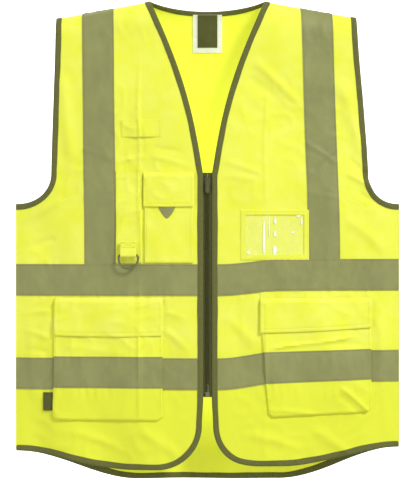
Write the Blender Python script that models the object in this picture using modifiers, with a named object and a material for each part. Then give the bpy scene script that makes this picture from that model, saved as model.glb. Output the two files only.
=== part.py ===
"""High visibility vest with a zip front, pockets and reflective tape.

The vest is built hanging upright by its neck, slightly filled out, with the
front facing -Y and the origin where the hanger carries the collar. Lengths are
in metres. "right" and "left" are the wearer's own, so the right half of the
front lies on the -X side.
"""

import math

import bmesh
import bpy
from mathutils import Matrix, Vector

# ---------------------------------------------------------------- dimensions
MM = 0.001

# garment outline
HALF_WIDTH = 300 * MM  # side seam to centre line
NECK_HALF = 89 * MM  # centre line to the neck end of the shoulder seam
SHOULDER_HALF = 235 * MM  # centre line to the outer end of the shoulder seam
SHOULDER_TOP = -2 * MM  # height of the shoulder seam at the neck
SHOULDER_SLOPE = 0.185  # fall of the shoulder seam per unit of width
ARMHOLE_WAIST = 250 * MM  # half width where the armhole starts to curve out
ARMHOLE_BEND = -272 * MM  # height where that curve starts
UNDERARM = -318 * MM
SIDE_BOTTOM = -705 * MM
FRONT_HEM = -733 * MM
FRONT_HEM_FLAT = 120 * MM  # half width over which the front hem stays level
BACK_HEM = -751 * MM
BACK_HEM_FLAT = 110 * MM
FRONT_CORNER = 70 * MM  # radius of the lower front corners
BACK_NECK_RUN = 31 * MM  # cloth length cut away at the middle of the back neck
NECKLINE_BOW = 12.5 * MM  # bow of the V neckline towards the centre

# how far the hanging cloth stands out
FRONT_DEPTH = 30 * MM
BACK_DEPTH = 26 * MM
SHOULDER_SPREAD = 70 * MM  # extra half width of the section at the shoulders
SHOULDER_SPREAD_RISE = 200 * MM
FOLD_DROP = 35 * MM  # height of the rounded fold over the shoulder

# cloth and trim thickness
CLEAR = 0.3 * MM  # gap kept between neighbouring pieces
SEAM_GAP = 0.4 * MM  # gap between front and back at the sewn seams
CLOTH = 0.8 * MM
TAPE = 0.5 * MM
BINDING = 8 * MM
BINDING_THICK = 1.8 * MM
LABEL = 0.35 * MM
LABEL_STAND = 1.6 * MM  # label face off the cloth of the neck
HOOK_LOOP = 0.5 * MM

# reflective tape
TAPE_WIDTH = 50 * MM
CHEST_TAPE_TOP = -413 * MM
WAIST_TAPE_TOP = -562 * MM
BACK_BRACE_INNER = 150 * MM
RIGHT_BRACE = (148 * MM, 143 * MM)  # inner edge at the shoulder, at the chest
LEFT_BRACE = (146 * MM, 160 * MM)

# zip
ZIP_TOP = -274 * MM
ZIP_BOTTOM = -619 * MM
EDGE_AT_ZIP = 6.5 * MM  # centre line to the bound front edge along the zip
EDGE_AT_HEM = 8.5 * MM
COIL_WIDTH = 2.6 * MM
COIL_HEIGHT = 2.2 * MM
CHAIN_GAP = 0.9 * MM
ZIP_TAPE_WIDTH = 13 * MM
SLIDER_LENGTH = 12 * MM
SLIDER_PLATE = 1.2 * MM
SLIDER_FLANGE = 1.0 * MM
SLIDER_BLADE = 0.4 * MM
STOP_LENGTH = 3 * MM
BAIL_BAR = 1.2 * MM
BAIL_STAND = 1.9 * MM
EYE_INNER = 1.1 * MM
EYE_OUTER = 1.7 * MM
EYE_WIDTH = 2.5 * MM
PULL_WIDTH = 6 * MM
PULL_LENGTH = 20 * MM
PIN_LENGTH = 17 * MM
PIN_WIDTH = 1.1 * MM
ZIP_BOX_HEIGHT = 8 * MM

# lower pockets
LOWER_POCKET_WIDTH = 173 * MM
RIGHT_LOWER_CENTRE = -155.5 * MM
LEFT_LOWER_CENTRE = 169.5 * MM
LOWER_FLAP_DROP = 2 * MM  # flap seam below the chest tape
LOWER_MOUTH_DROP = 11 * MM  # pocket mouth below the flap seam
LOWER_FLAP_LENGTH = 57.5 * MM
LOWER_POCKET_HEIGHT = 181 * MM
LOWER_POCKET_DEPTH = 14 * MM
LOWER_POCKET_SLOPE = 3 * MM
PATCH_SIZE = (52 * MM, 18 * MM)

# phone pocket and pen pocket on the right chest
PHONE_LEFT = -97.5 * MM
PHONE_RIGHT = -22.5 * MM
PHONE_TOP = -281 * MM
PHONE_BOTTOM = -411 * MM
PHONE_DEPTH = 8 * MM
PHONE_FLAP_TOP = -270 * MM
PHONE_FLAP_BOTTOM = -323 * MM
PULL_TAB_SIZE = (24 * MM, 22 * MM)
PEN_LEFT = -142.5 * MM
PEN_RIGHT = -101.5 * MM
PEN_TOP = -269 * MM
PEN_BOTTOM = -410 * MM
PEN_DEPTH = 7 * MM
POCKET_SLOPE = 1.5 * MM

# ring on the pen pocket
RING_WIRE = 1.5 * MM  # wire radius
RING_HALF = 15 * MM
RING_DROP = 20.5 * MM
RING_BAR_Z = -398.5 * MM
WEBBING_WIDTH = 25 * MM
WEBBING_THICK = 0.9 * MM
WEBBING_TOP = -374 * MM
WEBBING_SLACK = 0.65 * MM

# badge pocket on the left chest
BADGE_LEFT = 51 * MM
BADGE_RIGHT = 158 * MM
BADGE_TOP = -328 * MM
BADGE_BOTTOM = -407 * MM
BADGE_BORDER = 8.5 * MM
BADGE_FRAME_THICK = 1.2 * MM
BADGE_WINDOW_THICK = 0.5 * MM

# loop for a radio lead on the right chest
RADIO_LEFT = -134 * MM
RADIO_RIGHT = -72 * MM
RADIO_TOP = -187 * MM
RADIO_BOTTOM = -214 * MM
RADIO_ARCH = 6 * MM

# labels
CARE_LABEL = (46 * MM, 58 * MM)
SIZE_LABEL = (31 * MM, 50 * MM)
SIDE_TAG = (15 * MM, 29 * MM)

# heights that follow from the sizes above
LOWER_FLAP_TOP = CHEST_TAPE_TOP - TAPE_WIDTH - LOWER_FLAP_DROP
LOWER_FLAP_BOTTOM = LOWER_FLAP_TOP - LOWER_FLAP_LENGTH
LOWER_POCKET_TOP = LOWER_FLAP_TOP - LOWER_MOUTH_DROP
LOWER_POCKET_BOTTOM = LOWER_POCKET_TOP - LOWER_POCKET_HEIGHT

FRONT, BACK = -1, 1

# ------------------------------------------------------------------ finishes
FINISHES = {
    "yellow": ((0.78, 0.92, 0.09), 0.85, 0.0, 1.0),
    "olive": ((0.14, 0.15, 0.035), 0.9, 0.0, 1.0),
    "tape": ((0.29, 0.30, 0.13), 0.45, 0.0, 1.0),
    "dark": ((0.07, 0.07, 0.02), 0.6, 0.0, 1.0),
    "moulded": ((0.11, 0.12, 0.03), 0.45, 0.0, 1.0),
    "metal": ((0.20, 0.20, 0.08), 0.4, 0.7, 1.0),
    "clear": ((0.9, 0.95, 0.7), 0.1, 0.0, 0.4),
    "white": ((0.83, 0.86, 0.75), 0.8, 0.0, 1.0),
    "green": ((0.08, 0.12, 0.03), 0.8, 0.0, 1.0),
}


# --------------------------------------------------------------- scene set-up
def clear_scene():
    """Remove every object that the start file holds."""
    for obj in list(bpy.data.objects):
        bpy.data.objects.remove(obj, do_unlink=True)


def new_collection(name):
    """Return a new collection linked to the scene."""
    collection = bpy.data.collections.new(name)
    bpy.context.scene.collection.children.link(collection)
    return collection


def finish(obj, kind):
    """Give an object its own Principled material of one kind."""
    colour, rough, metal, alpha = FINISHES[kind]
    material = bpy.data.materials.new(obj.name)
    material.use_nodes = True
    shader = material.node_tree.nodes["Principled BSDF"]
    shader.inputs["Base Color"].default_value = (*colour, 1.0)
    shader.inputs["Roughness"].default_value = rough
    shader.inputs["Metallic"].default_value = metal
    shader.inputs["Alpha"].default_value = alpha
    obj.data.materials.append(material)


def add_mesh(name, points, faces, kind, group):
    """Make one object from points and faces and colour it."""
    mesh = bpy.data.meshes.new(name)
    mesh.from_pydata([tuple(p) for p in points], [], faces)
    mesh.validate()
    obj = bpy.data.objects.new(name, mesh)
    group.objects.link(obj)
    finish(obj, kind)
    return obj


def move_origin(obj, origin):
    """Put the object's origin at a point without moving its surface."""
    obj.data.transform(Matrix.Translation(-origin))
    obj.location = origin


# ------------------------------------------------------------ garment surface
def smooth(t):
    """Ease from 0 to 1 with level ends."""
    t = min(max(t, 0.0), 1.0)
    return t * t * (3 - 2 * t)


def shoulder_z(x):
    """Height of the shoulder line over a point of the width."""
    return SHOULDER_TOP - SHOULDER_SLOPE * max(0.0, abs(x) - NECK_HALF)


def run_at(x, z):
    """Cloth length from the shoulder line down to a height."""
    drop = max(0.0, shoulder_z(x) - z)
    if drop < FOLD_DROP:
        return FOLD_DROP * math.acos(1 - drop / FOLD_DROP)
    return FOLD_DROP * (math.pi / 2 - 1) + drop


def surface(x, run, side):
    """Point of the inner cloth face, by width and cloth length."""
    turn = min(run / FOLD_DROP, math.pi / 2)
    over = run - FOLD_DROP * turn
    z = shoulder_z(x) - FOLD_DROP * (1 - math.cos(turn)) - over
    half = HALF_WIDTH + SHOULDER_SPREAD * smooth((z - UNDERARM) / SHOULDER_SPREAD_RISE)
    depth = FRONT_DEPTH if side == FRONT else BACK_DEPTH
    y = SEAM_GAP / 2 + depth * (1 - (x / half) ** 2) * math.sin(turn)
    return Vector((x, side * y, z))


def skin(x, run, side, lift=0.0):
    """Point at a distance outside the inner cloth face."""
    step = 0.01 * MM
    point = surface(x, run, side)
    across = surface(x + step, run, side) - surface(x - step, run, side)
    down = surface(x, run + step, side) - surface(x, max(0.0, run - step), side)
    return point + across.cross(down).normalized() * side * lift


def skin_z(x, z, side, lift=0.0):
    """Same as skin, by width and height."""
    return skin(x, run_at(x, z), side, lift)


# ----------------------------------------------------------- sheets of cloth
def sheet(name, rows, thickness, outward, kind, group):
    """Thicken a grid of points away from the wearer into one closed piece."""
    wide = len(rows[0])
    points = [p for row in rows for p in row]
    faces = [
        (r * wide + c, r * wide + c + 1, (r + 1) * wide + c + 1, (r + 1) * wide + c)
        for r in range(len(rows) - 1)
        for c in range(wide - 1)
    ]
    mid = faces[len(faces) // 2]
    normal = (points[mid[1]] - points[mid[0]]).cross(points[mid[3]] - points[mid[0]])
    if normal.dot(outward) < 0:
        faces = [tuple(reversed(face)) for face in faces]
    obj = add_mesh(name, points, faces, kind, group)
    solid = obj.modifiers.new("thickness", "SOLIDIFY")
    solid.thickness = thickness
    solid.offset = 1.0
    solid.use_even_offset = True
    return obj


def blend(a, b, t):
    """Straight interpolation between two pairs."""
    return tuple(p + (q - p) * t for p, q in zip(a, b))


def inset(path, distance):
    """Shift a path of (width, run) pairs towards the cloth on its right hand."""
    shifted = []
    for i, point in enumerate(path):
        before = path[max(0, i - 1)]
        after = path[min(len(path) - 1, i + 1)]
        dx, dr = after[0] - before[0], after[1] - before[1]
        size = math.hypot(dx, dr)
        shifted.append((point[0] + dr / size * distance, point[1] - dx / size * distance))
    return shifted


def fill(top, bottom, first, last):
    """Grid of pairs inside four border paths; rows stay level away from the ends."""
    rows = []
    for i, (a, b) in enumerate(zip(first, last)):
        v = i / (len(first) - 1)
        row = []
        for j, (t, s) in enumerate(zip(top, bottom)):
            u = j / (len(top) - 1)
            high, low = blend(top[0], top[-1], u), blend(bottom[0], bottom[-1], u)
            row.append(
                tuple(
                    p + (q - c) * (1 - v) ** 3 + (w - d) * v**3
                    for p, q, c, w, d in zip(blend(a, b, u), t, high, s, low)
                )
            )
        rows.append(row)
    return rows


# ------------------------------------------------------------ outline curves
FOLD_STEPS = [FOLD_DROP * math.pi / 2 * i / 6 for i in range(7)]
UPPER_LEVELS = [-0.075, -0.110, -0.150, -0.190, -0.232]
BEND_STEPS = 4
LOWER_LEVELS = [-0.360, -0.413, -0.463, -0.512, -0.562, -0.612]
HEM_STEPS = 7
CORNER_STEPS = 4


def armhole_x(z):
    """Half width of the armhole edge above its lower curve."""
    t = (z - shoulder_z(SHOULDER_HALF)) / (ARMHOLE_BEND - shoulder_z(SHOULDER_HALF))
    return SHOULDER_HALF + (ARMHOLE_WAIST - SHOULDER_HALF) * smooth(t)


def armhole_path():
    """Armhole edge from the shoulder seam down to the underarm."""
    path = [(armhole_x(shoulder_z(SHOULDER_HALF) - 0.6 * run), run) for run in FOLD_STEPS]
    levels = UPPER_LEVELS + [ARMHOLE_BEND]
    path += [(armhole_x(z), run_at(armhole_x(z), z)) for z in levels]
    for i in range(1, BEND_STEPS + 1):
        angle = i / BEND_STEPS * math.pi / 2
        x = ARMHOLE_WAIST + (HALF_WIDTH - ARMHOLE_WAIST) * (1 - math.cos(angle))
        z = ARMHOLE_BEND + (UNDERARM - ARMHOLE_BEND) * math.sin(angle)
        path.append((x, run_at(x, z)))
    return path


def side_levels():
    """Heights of the cloth rows along the side seam."""
    last = LOWER_LEVELS[-1]
    return LOWER_LEVELS + [last + (SIDE_BOTTOM - last) * t for t in (0.4, 0.75)]


def neckline_x(z):
    """Half width of the V neckline."""
    t = (z - SHOULDER_TOP) / (ZIP_TOP - SHOULDER_TOP)
    return NECK_HALF + (EDGE_AT_ZIP - NECK_HALF) * t - NECKLINE_BOW * math.sin(math.pi * t)


def front_edge_x(z):
    """Half width of the bound front edge at any height."""
    if z > ZIP_TOP:
        return neckline_x(z)
    t = smooth((ZIP_BOTTOM - z) / (ZIP_BOTTOM - FRONT_HEM - FRONT_CORNER))
    return EDGE_AT_ZIP + (EDGE_AT_HEM - EDGE_AT_ZIP) * t


def hem_z(x, level, flat):
    """Height of a hem that rises from its level middle to the side seam."""
    return level + (SIDE_BOTTOM - level) * smooth((abs(x) - flat) / (HALF_WIDTH - flat))


def front_edge_levels():
    """Heights of the cloth rows along the front edge, matching the armhole side."""
    bend = [
        ARMHOLE_BEND + (UNDERARM - ARMHOLE_BEND) * math.sin(i / BEND_STEPS * math.pi / 2)
        for i in range(BEND_STEPS + 1)
    ]
    start, last = LOWER_LEVELS[-1], FRONT_HEM + FRONT_CORNER
    lower = [start + (last - start) * t for t in (0.4, 0.75, 1.0)]
    return UPPER_LEVELS + bend + LOWER_LEVELS + lower


def front_edge_path():
    """Front edge from the shoulder seam down to the rounded corner."""
    path = []
    for run in FOLD_STEPS:
        z = surface(NECK_HALF, run, FRONT).z
        path.append((neckline_x(z), run))
    for z in front_edge_levels():
        path.append((front_edge_x(z), run_at(front_edge_x(z), z)))
    return path


def front_hem_path():
    """Front hem from the rounded corner to the side seam."""
    path = []
    for i in range(CORNER_STEPS + 1):
        angle = i / CORNER_STEPS * math.pi / 2
        x = EDGE_AT_HEM + FRONT_CORNER * (1 - math.cos(angle))
        z = FRONT_HEM + FRONT_CORNER * (1 - math.sin(angle))
        path.append((x, run_at(x, z)))
    start = EDGE_AT_HEM + FRONT_CORNER
    for i in range(1, HEM_STEPS + 1):
        x = start + (HALF_WIDTH - start) * i / HEM_STEPS
        path.append((x, run_at(x, hem_z(x, FRONT_HEM, FRONT_HEM_FLAT))))
    return path


def pin_start(path, edge):
    """Slide the first pair of an inset path back onto the shoulder line."""
    dx, dr = edge[1][0] - edge[0][0], edge[1][1] - edge[0][1]
    x, run = path[0]
    return [(x - dx * run / dr, 0.0)] + path[1:]


def pin_end(path):
    """Put the last pair of a path on the side seam."""
    return path[:-1] + [(HALF_WIDTH, path[-1][1])]


def inset_armhole(distance):
    """Armhole path moved into the cloth."""
    edge = armhole_path()
    return pin_end(pin_start([(x, r) for x, r in inset(edge, -distance)], edge))


def inset_front(distance):
    """Whole front edge and hem moved into the cloth."""
    edge = front_edge_path() + front_hem_path()[1:]
    return pin_end(pin_start(inset(edge, distance), edge))


def neck_path(distance):
    """Back neck edge, grown by a distance, from one shoulder seam to the other."""
    steps = 8
    return [
        (
            -(NECK_HALF + distance) * math.cos(i / steps * math.pi),
            (BACK_NECK_RUN + distance) * math.sin(i / steps * math.pi),
        )
        for i in range(steps + 1)
    ]


BACK_COLUMNS = 16


def back_hem_path(distance):
    """Back hem moved up into the cloth by a distance."""
    path = []
    for i in range(BACK_COLUMNS + 1):
        x = HALF_WIDTH * (2 * i / BACK_COLUMNS - 1)
        path.append((x, run_at(x, hem_z(x, BACK_HEM, BACK_HEM_FLAT) + distance)))
    return path


# ----------------------------------------------------------------- the panels
def mirror_pairs(path, sign):
    """Path on the chosen half of the garment."""
    return [(sign * x, run) for x, run in path]


def side_path(top, distance):
    """Outer border of a panel below and including the armhole inset."""
    path = list(top)
    path += [(HALF_WIDTH, run_at(HALF_WIDTH, z)) for z in side_levels()]
    path.append((HALF_WIDTH, run_at(HALF_WIDTH, SIDE_BOTTOM + distance)))
    return path


def front_panel(name, sign, group):
    """One half of the front, inside its binding."""
    margin = BINDING + CLEAR
    border = inset_front(margin)
    split = len(front_edge_path())
    first = border[:split]
    bottom = border[split - 1 :]
    last = side_path(inset_armhole(margin), margin)
    last[-1] = bottom[-1]
    top = [blend(first[0], last[0], j / (len(bottom) - 1)) for j in range(len(bottom))]
    grid = fill(top, bottom, first, last)
    rows = [[skin(sign * x, max(run, 0.0), FRONT) for x, run in row] for row in grid]
    return sheet(name, rows, CLOTH, Vector((0, -1, 0)), "yellow", group)


def back_panel(name, group):
    """The whole back, inside its bindings."""
    margin = BINDING + CLEAR
    right = side_path(inset_armhole(margin), margin)
    left = mirror_pairs(right, -1)
    neck = neck_path(margin)
    shoulder = [blend(left[0], neck[0], t / 4) for t in range(4)]
    top = shoulder + neck + [(-x, run) for x, run in reversed(shoulder)]
    grid = fill(top, back_hem_path(margin), left, right)
    rows = [[skin(x, max(run, 0.0), BACK) for x, run in row] for row in grid]
    return sheet(name, rows, CLOTH, Vector((0, 1, 0)), "yellow", group)


# --------------------------------------------------------------- the bindings
def front_binding(name, sign, group):
    """Binding along the neckline, front edge, corner and hem of one half."""
    outer = pin_end(front_edge_path() + front_hem_path()[1:])
    inner = inset_front(BINDING)
    rows = [
        [skin(sign * x, max(run, 0.0), FRONT) for x, run in pair]
        for pair in zip(outer, inner)
    ]
    return sheet(name, rows, BINDING_THICK, Vector((0, -1, 0)), "olive", group)


def armhole_binding(name, sign, group):
    """Binding round one armhole, over the shoulder from front to back."""
    pairs = list(zip(pin_end(armhole_path()), inset_armhole(BINDING)))
    front = [[skin(sign * x, run, FRONT) for x, run in pair] for pair in pairs]
    back = [[skin(sign * x, run, BACK) for x, run in pair] for pair in pairs]
    crest = [[(a + b) / 2 for a, b in zip(front[0], back[0])]]
    rows = list(reversed(front[1:])) + crest + back[1:]
    return sheet(name, rows, BINDING_THICK, Vector((0, 0, 1)), "olive", group)


def back_neck_binding(name, group):
    """Binding across the back neck."""
    pairs = zip(neck_path(0.0), neck_path(BINDING))
    rows = [[skin(x, max(run, 0.0), BACK) for x, run in pair] for pair in pairs]
    return sheet(name, rows, BINDING_THICK, Vector((0, 1, 1)), "olive", group)


def back_hem_binding(name, group):
    """Binding along the back hem."""
    pairs = zip(back_hem_path(0.0), back_hem_path(BINDING))
    rows = [[skin(x, run, BACK) for x, run in pair] for pair in pairs]
    return sheet(name, rows, BINDING_THICK, Vector((0, 1, 0)), "olive", group)


# --------------------------------------------------------- reflective tape
TAPE_LIFT = CLOTH + CLEAR


def brace(name, sign, side, inner_top, inner_bottom, group):
    """Tape from the shoulder seam down to the chest tape."""
    end = CHEST_TAPE_TOP + CLEAR
    levels = [z for z in UPPER_LEVELS + [ARMHOLE_BEND, UNDERARM, LOWER_LEVELS[0]] if z > end] + [end]
    rows = []
    for i in range(len(FOLD_STEPS) + len(levels)):
        row = []
        for t in (0.0, 0.5, 1.0):
            fall = 0.0 if i < len(FOLD_STEPS) else levels[i - len(FOLD_STEPS)] / end
            x = inner_top + (inner_bottom - inner_top) * fall + TAPE_WIDTH * t
            run = FOLD_STEPS[i] if i < len(FOLD_STEPS) else run_at(x, levels[i - len(FOLD_STEPS)])
            row.append(skin(sign * x, run, side, TAPE_LIFT))
        rows.append(row)
    return sheet(name, rows, TAPE, Vector((0, side, 0)), "tape", group)


def band(name, x0, x1, top, side, steps, group):
    """Level tape between two points of the width."""
    xs = [x0 + (x1 - x0) * i / steps for i in range(steps + 1)]
    rows = [[skin_z(x, z, side, TAPE_LIFT) for x in xs] for z in (top, top - TAPE_WIDTH)]
    return sheet(name, rows, TAPE, Vector((0, side, 0)), "tape", group)


# ------------------------------------------------------ flat accessory frames
class Face:
    """Flat working frame laid across the front between two side limits.

    u runs across towards +X, v is height, w is distance out from the plane
    through the inner cloth face at the two limits.
    """

    def __init__(self, x0, x1, z):
        a, b = skin_z(x0, z, FRONT), skin_z(x1, z, FRONT)
        self.across = (b - a).normalized()
        self.out = self.across.cross(Vector((0, 0, 1)))
        self.centre = (a + b) / 2
        self.half = (b - a).length / 2
        middle = skin_z((x0 + x1) / 2, z, FRONT)
        self.bulge = (middle - self.centre).dot(self.out)

    def at(self, u, v, w):
        """Point at working coordinates."""
        flat = self.centre + self.across * u + self.out * w
        return Vector((flat.x, flat.y, v))

    def rim(self, u, v, lift):
        """Point over the cloth straight behind a place of the frame."""
        return skin_z(self.at(u, v, 0).x, v, FRONT, lift)


def prism(name, ring0, ring1, kind, group, hole0=None, hole1=None):
    """Closed body between two matching rings, with an optional through hole."""
    count = len(ring0)
    points = list(ring0) + list(ring1)
    faces = [(i, (i + 1) % count, (i + 1) % count + count, i + count) for i in range(count)]
    if hole0 is None:
        faces += [tuple(range(count)), tuple(range(count, 2 * count))]
    else:
        points += list(hole0) + list(hole1)
        base = 2 * count
        for i in range(count):
            j = (i + 1) % count
            faces.append((base + i, base + j, base + j + count, base + i + count))
            faces.append((i, j, base + j, base + i))
            faces.append((count + i, count + j, base + count + j, base + count + i))
    obj = add_mesh(name, points, faces, kind, group)
    face_outward(obj)
    return obj


def face_outward(obj):
    """Turn every face of a closed body outwards."""
    work = bmesh.new()
    work.from_mesh(obj.data)
    bmesh.ops.recalc_face_normals(work, faces=work.faces)
    work.to_mesh(obj.data)
    work.free()


def slab(name, face, u, v, w, kind, group):
    """Flat rectangular piece in a working frame; u, v, w are (low, high)."""
    ring = [(u[0], v[0]), (u[1], v[0]), (u[1], v[1]), (u[0], v[1])]
    return prism(
        name,
        [face.at(a, b, w[0]) for a, b in ring],
        [face.at(a, b, w[1]) for a, b in ring],
        kind,
        group,
    )


def across_prism(name, face, profile, u0, u1, kind, group):
    """Profile of (w, v) pairs carried across the frame."""
    return prism(
        name,
        [face.at(u0, v, w) for w, v in profile],
        [face.at(u1, v, w) for w, v in profile],
        kind,
        group,
    )


def thick_profile(line, thickness):
    """Closed profile round a centre line of pairs."""
    near, far = inset(line, thickness / 2), inset(line, -thickness / 2)
    return near + list(reversed(far))


# ----------------------------------------------------------------- the pockets
RIM_LIFT = TAPE_LIFT + TAPE + CLEAR


def pocket(name, face, half, top, bottom, depth, slope, columns, group):
    """Bag sewn on the front: front wall, sides and floor, open at the top."""
    us = [-half, -half + slope]
    us += [(-half + slope) * (1 - 2 * i / columns) for i in range(1, columns)]
    us += [half - slope, half]
    rows = []
    for v in (top, bottom + slope):
        rows.append(
            [face.rim(us[0], v, RIM_LIFT)]
            + [face.at(u, v, depth) for u in us[1:-1]]
            + [face.rim(us[-1], v, RIM_LIFT)]
        )
    rows.append([face.rim(u, bottom, RIM_LIFT) for u in us])
    return sheet(name, rows, CLOTH, face.out, "yellow", group)


def flap(name, face, half, top, bottom, plate, kind, group):
    """Flap with a bent root; returns the object and its hinge point."""
    root = face.bulge + CLOTH + 1.7 * MM
    reach = plate - root
    line = [
        (root, top),
        (root + 0.55 * reach, top - 2.0 * MM),
        (root + 0.92 * reach, top - 6.5 * MM),
        (plate, top - 13 * MM),
        (plate, bottom),
    ]
    obj = across_prism(name, face, thick_profile(line, CLOTH), -half, half, kind, group)
    hinge = face.at(0, top, root)
    move_origin(obj, hinge)
    return obj, hinge


def flap_plate(depth):
    """Distance of a flap's middle plane from the frame of its pocket."""
    return depth + CLOTH + 2 * HOOK_LOOP + 3 * CLEAR + CLOTH / 2


def patches(prefix, face, depth, v, size, hinge, group):
    """Loop half on the pocket and hook half on the flap."""
    half = size[0] / 2
    limits = (v - size[1] / 2, v + size[1] / 2)
    low = depth + CLOTH + CLEAR
    high = low + HOOK_LOOP + CLEAR
    slab(f"{prefix}_loop_patch", face, (-half, half), limits, (low, low + HOOK_LOOP), "olive", group)
    hook = slab(
        f"{prefix}_hook_patch", face, (-half, half), limits, (high, high + HOOK_LOOP), "olive", group
    )
    move_origin(hook, hinge)


def lower_pocket(prefix, centre, group):
    """Large pocket with its flap, patches and tape."""
    half = LOWER_POCKET_WIDTH / 2
    face = Face(centre - half, centre + half, LOWER_POCKET_TOP)
    depth = LOWER_POCKET_DEPTH
    inner = face.half - CLOTH
    pocket(
        f"{prefix}_lower_pocket", face, inner, LOWER_POCKET_TOP, LOWER_POCKET_BOTTOM,
        depth, LOWER_POCKET_SLOPE, 8, group,
    )
    _, hinge = flap(
        f"{prefix}_lower_flap", face, face.half, LOWER_FLAP_TOP, LOWER_FLAP_BOTTOM,
        flap_plate(depth), "yellow", group,
    )
    middle = (LOWER_FLAP_BOTTOM + LOWER_POCKET_TOP) / 2 - 5 * MM
    patches(f"{prefix}_lower", face, depth, middle, PATCH_SIZE, hinge, group)
    flat = inner - LOWER_POCKET_SLOPE
    low = depth + CLOTH + CLEAR
    slab(
        f"{prefix}_pocket_tape", face, (-flat, flat),
        (WAIST_TAPE_TOP - TAPE_WIDTH, WAIST_TAPE_TOP), (low, low + TAPE), "tape", group,
    )
    return face


def phone_pocket(group):
    """Phone pocket with its flap, patches and pull tab."""
    face = Face(PHONE_LEFT, PHONE_RIGHT, PHONE_TOP)
    inner = face.half - CLOTH
    pocket(
        "phone_pocket", face, inner, PHONE_TOP, PHONE_BOTTOM, PHONE_DEPTH, POCKET_SLOPE, 4, group
    )
    plate = flap_plate(PHONE_DEPTH)
    _, hinge = flap(
        "phone_flap", face, face.half + 1 * MM, PHONE_FLAP_TOP, PHONE_FLAP_BOTTOM,
        plate, "yellow", group,
    )
    patches("phone", face, PHONE_DEPTH, PHONE_TOP - 18 * MM, (30 * MM, 16 * MM), hinge, group)
    wide, tall = PULL_TAB_SIZE
    top = PHONE_FLAP_BOTTOM + 4 * MM
    outline = [(-wide / 2, top), (wide / 2, top), (2 * MM, top - tall), (-2 * MM, top - tall)]
    high = plate - CLOTH / 2 - CLEAR
    tab = prism(
        "phone_flap_tab",
        [face.at(u, v, high - TAPE) for u, v in outline],
        [face.at(u, v, high) for u, v in outline],
        "tape",
        group,
    )
    move_origin(tab, hinge)


def arc(centre, radius, start, end, steps):
    """Points on an arc of pairs, angles in degrees."""
    return [
        (
            centre[0] + radius * math.cos(math.radians(start + (end - start) * i / steps)),
            centre[1] + radius * math.sin(math.radians(start + (end - start) * i / steps)),
        )
        for i in range(steps + 1)
    ]


def pen_pocket_and_ring(group):
    """Pen pocket with the webbing and ring sewn to its front wall."""
    face = Face(PEN_LEFT, PEN_RIGHT, PEN_TOP)
    inner = face.half - CLOTH
    pocket("pen_pocket", face, inner, PEN_TOP, PEN_BOTTOM, PEN_DEPTH, POCKET_SLOPE, 3, group)
    bore = RING_WIRE + WEBBING_SLACK
    outer = bore + WEBBING_THICK
    back = PEN_DEPTH + CLOTH + CLEAR
    bar = (back + outer, RING_BAR_Z)
    inside = arc(bar, bore, 180, 360, 8) + [(back + WEBBING_THICK, WEBBING_TOP - 6 * MM)]
    outside = arc(bar, outer, 180, 360, 8) + [(back + 1.6 * WEBBING_THICK, WEBBING_TOP)]
    inside.append(inside[-1])
    outside.append((back, WEBBING_TOP))
    half = WEBBING_WIDTH / 2
    inside[-1] = (inside[-1][0], inside[-1][1] - 1 * MM)
    prism(
        "ring_webbing",
        [face.at(-half, v, w) for w, v in outside],
        [face.at(half, v, w) for w, v in outside],
        "olive",
        group,
        [face.at(-half, v, w) for w, v in inside],
        [face.at(half, v, w) for w, v in inside],
    )
    bend = 3 * MM
    right = arc((RING_HALF - bend, -bend), bend, 90, 0, 3)
    bowl = [
        (RING_HALF * math.cos(a), -6 * MM - (RING_DROP - 6 * MM) * math.sin(a))
        for a in [math.pi * i / 12 for i in range(13)]
    ]
    left = [(-u, v) for u, v in reversed(right)]
    path = right + bowl + left
    curve = bpy.data.curves.new("d_ring", "CURVE")
    curve.dimensions = "3D"
    curve.bevel_depth = RING_WIRE
    curve.bevel_resolution = 2
    spline = curve.splines.new("POLY")
    spline.points.add(len(path) - 1)
    for point, (u, v) in zip(spline.points, path):
        point.co = (*face.at(u, RING_BAR_Z + v, bar[0]), 1.0)
    spline.use_cyclic_u = True
    wire = bpy.data.objects.new("d_ring_path", curve)
    mesh = bpy.data.meshes.new_from_object(wire)
    bpy.data.objects.remove(wire)
    mesh.name = "d_ring"
    mesh.materials.clear()
    ring = bpy.data.objects.new("d_ring", mesh)
    group.objects.link(ring)
    finish(ring, "moulded")
    face_outward(ring)
    move_origin(ring, face.at(0, RING_BAR_Z, bar[0]))
    return face


def badge_pocket(group):
    """Bound frame with a clear window."""
    face = Face(BADGE_LEFT, BADGE_RIGHT, (BADGE_TOP + BADGE_BOTTOM) / 2)
    low = face.bulge + CLOTH + CLEAR
    half = face.half

    def ring(margin):
        a, b, c = half - margin, BADGE_BOTTOM + margin, BADGE_TOP - margin
        return [(-a, b), (a, b), (a, c), (-a, c)]

    def rings(margin, w):
        return [face.at(u, v, w) for u, v in ring(margin)]

    high = low + BADGE_FRAME_THICK
    prism(
        "badge_pocket_frame", rings(0, low), rings(0, high), "yellow", group,
        rings(BADGE_BORDER, low), rings(BADGE_BORDER, high),
    )
    margin = BADGE_BORDER + CLEAR
    start = low + CLEAR
    prism(
        "badge_pocket_window", rings(margin, start), rings(margin, start + BADGE_WINDOW_THICK),
        "clear", group,
    )
    return face


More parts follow.
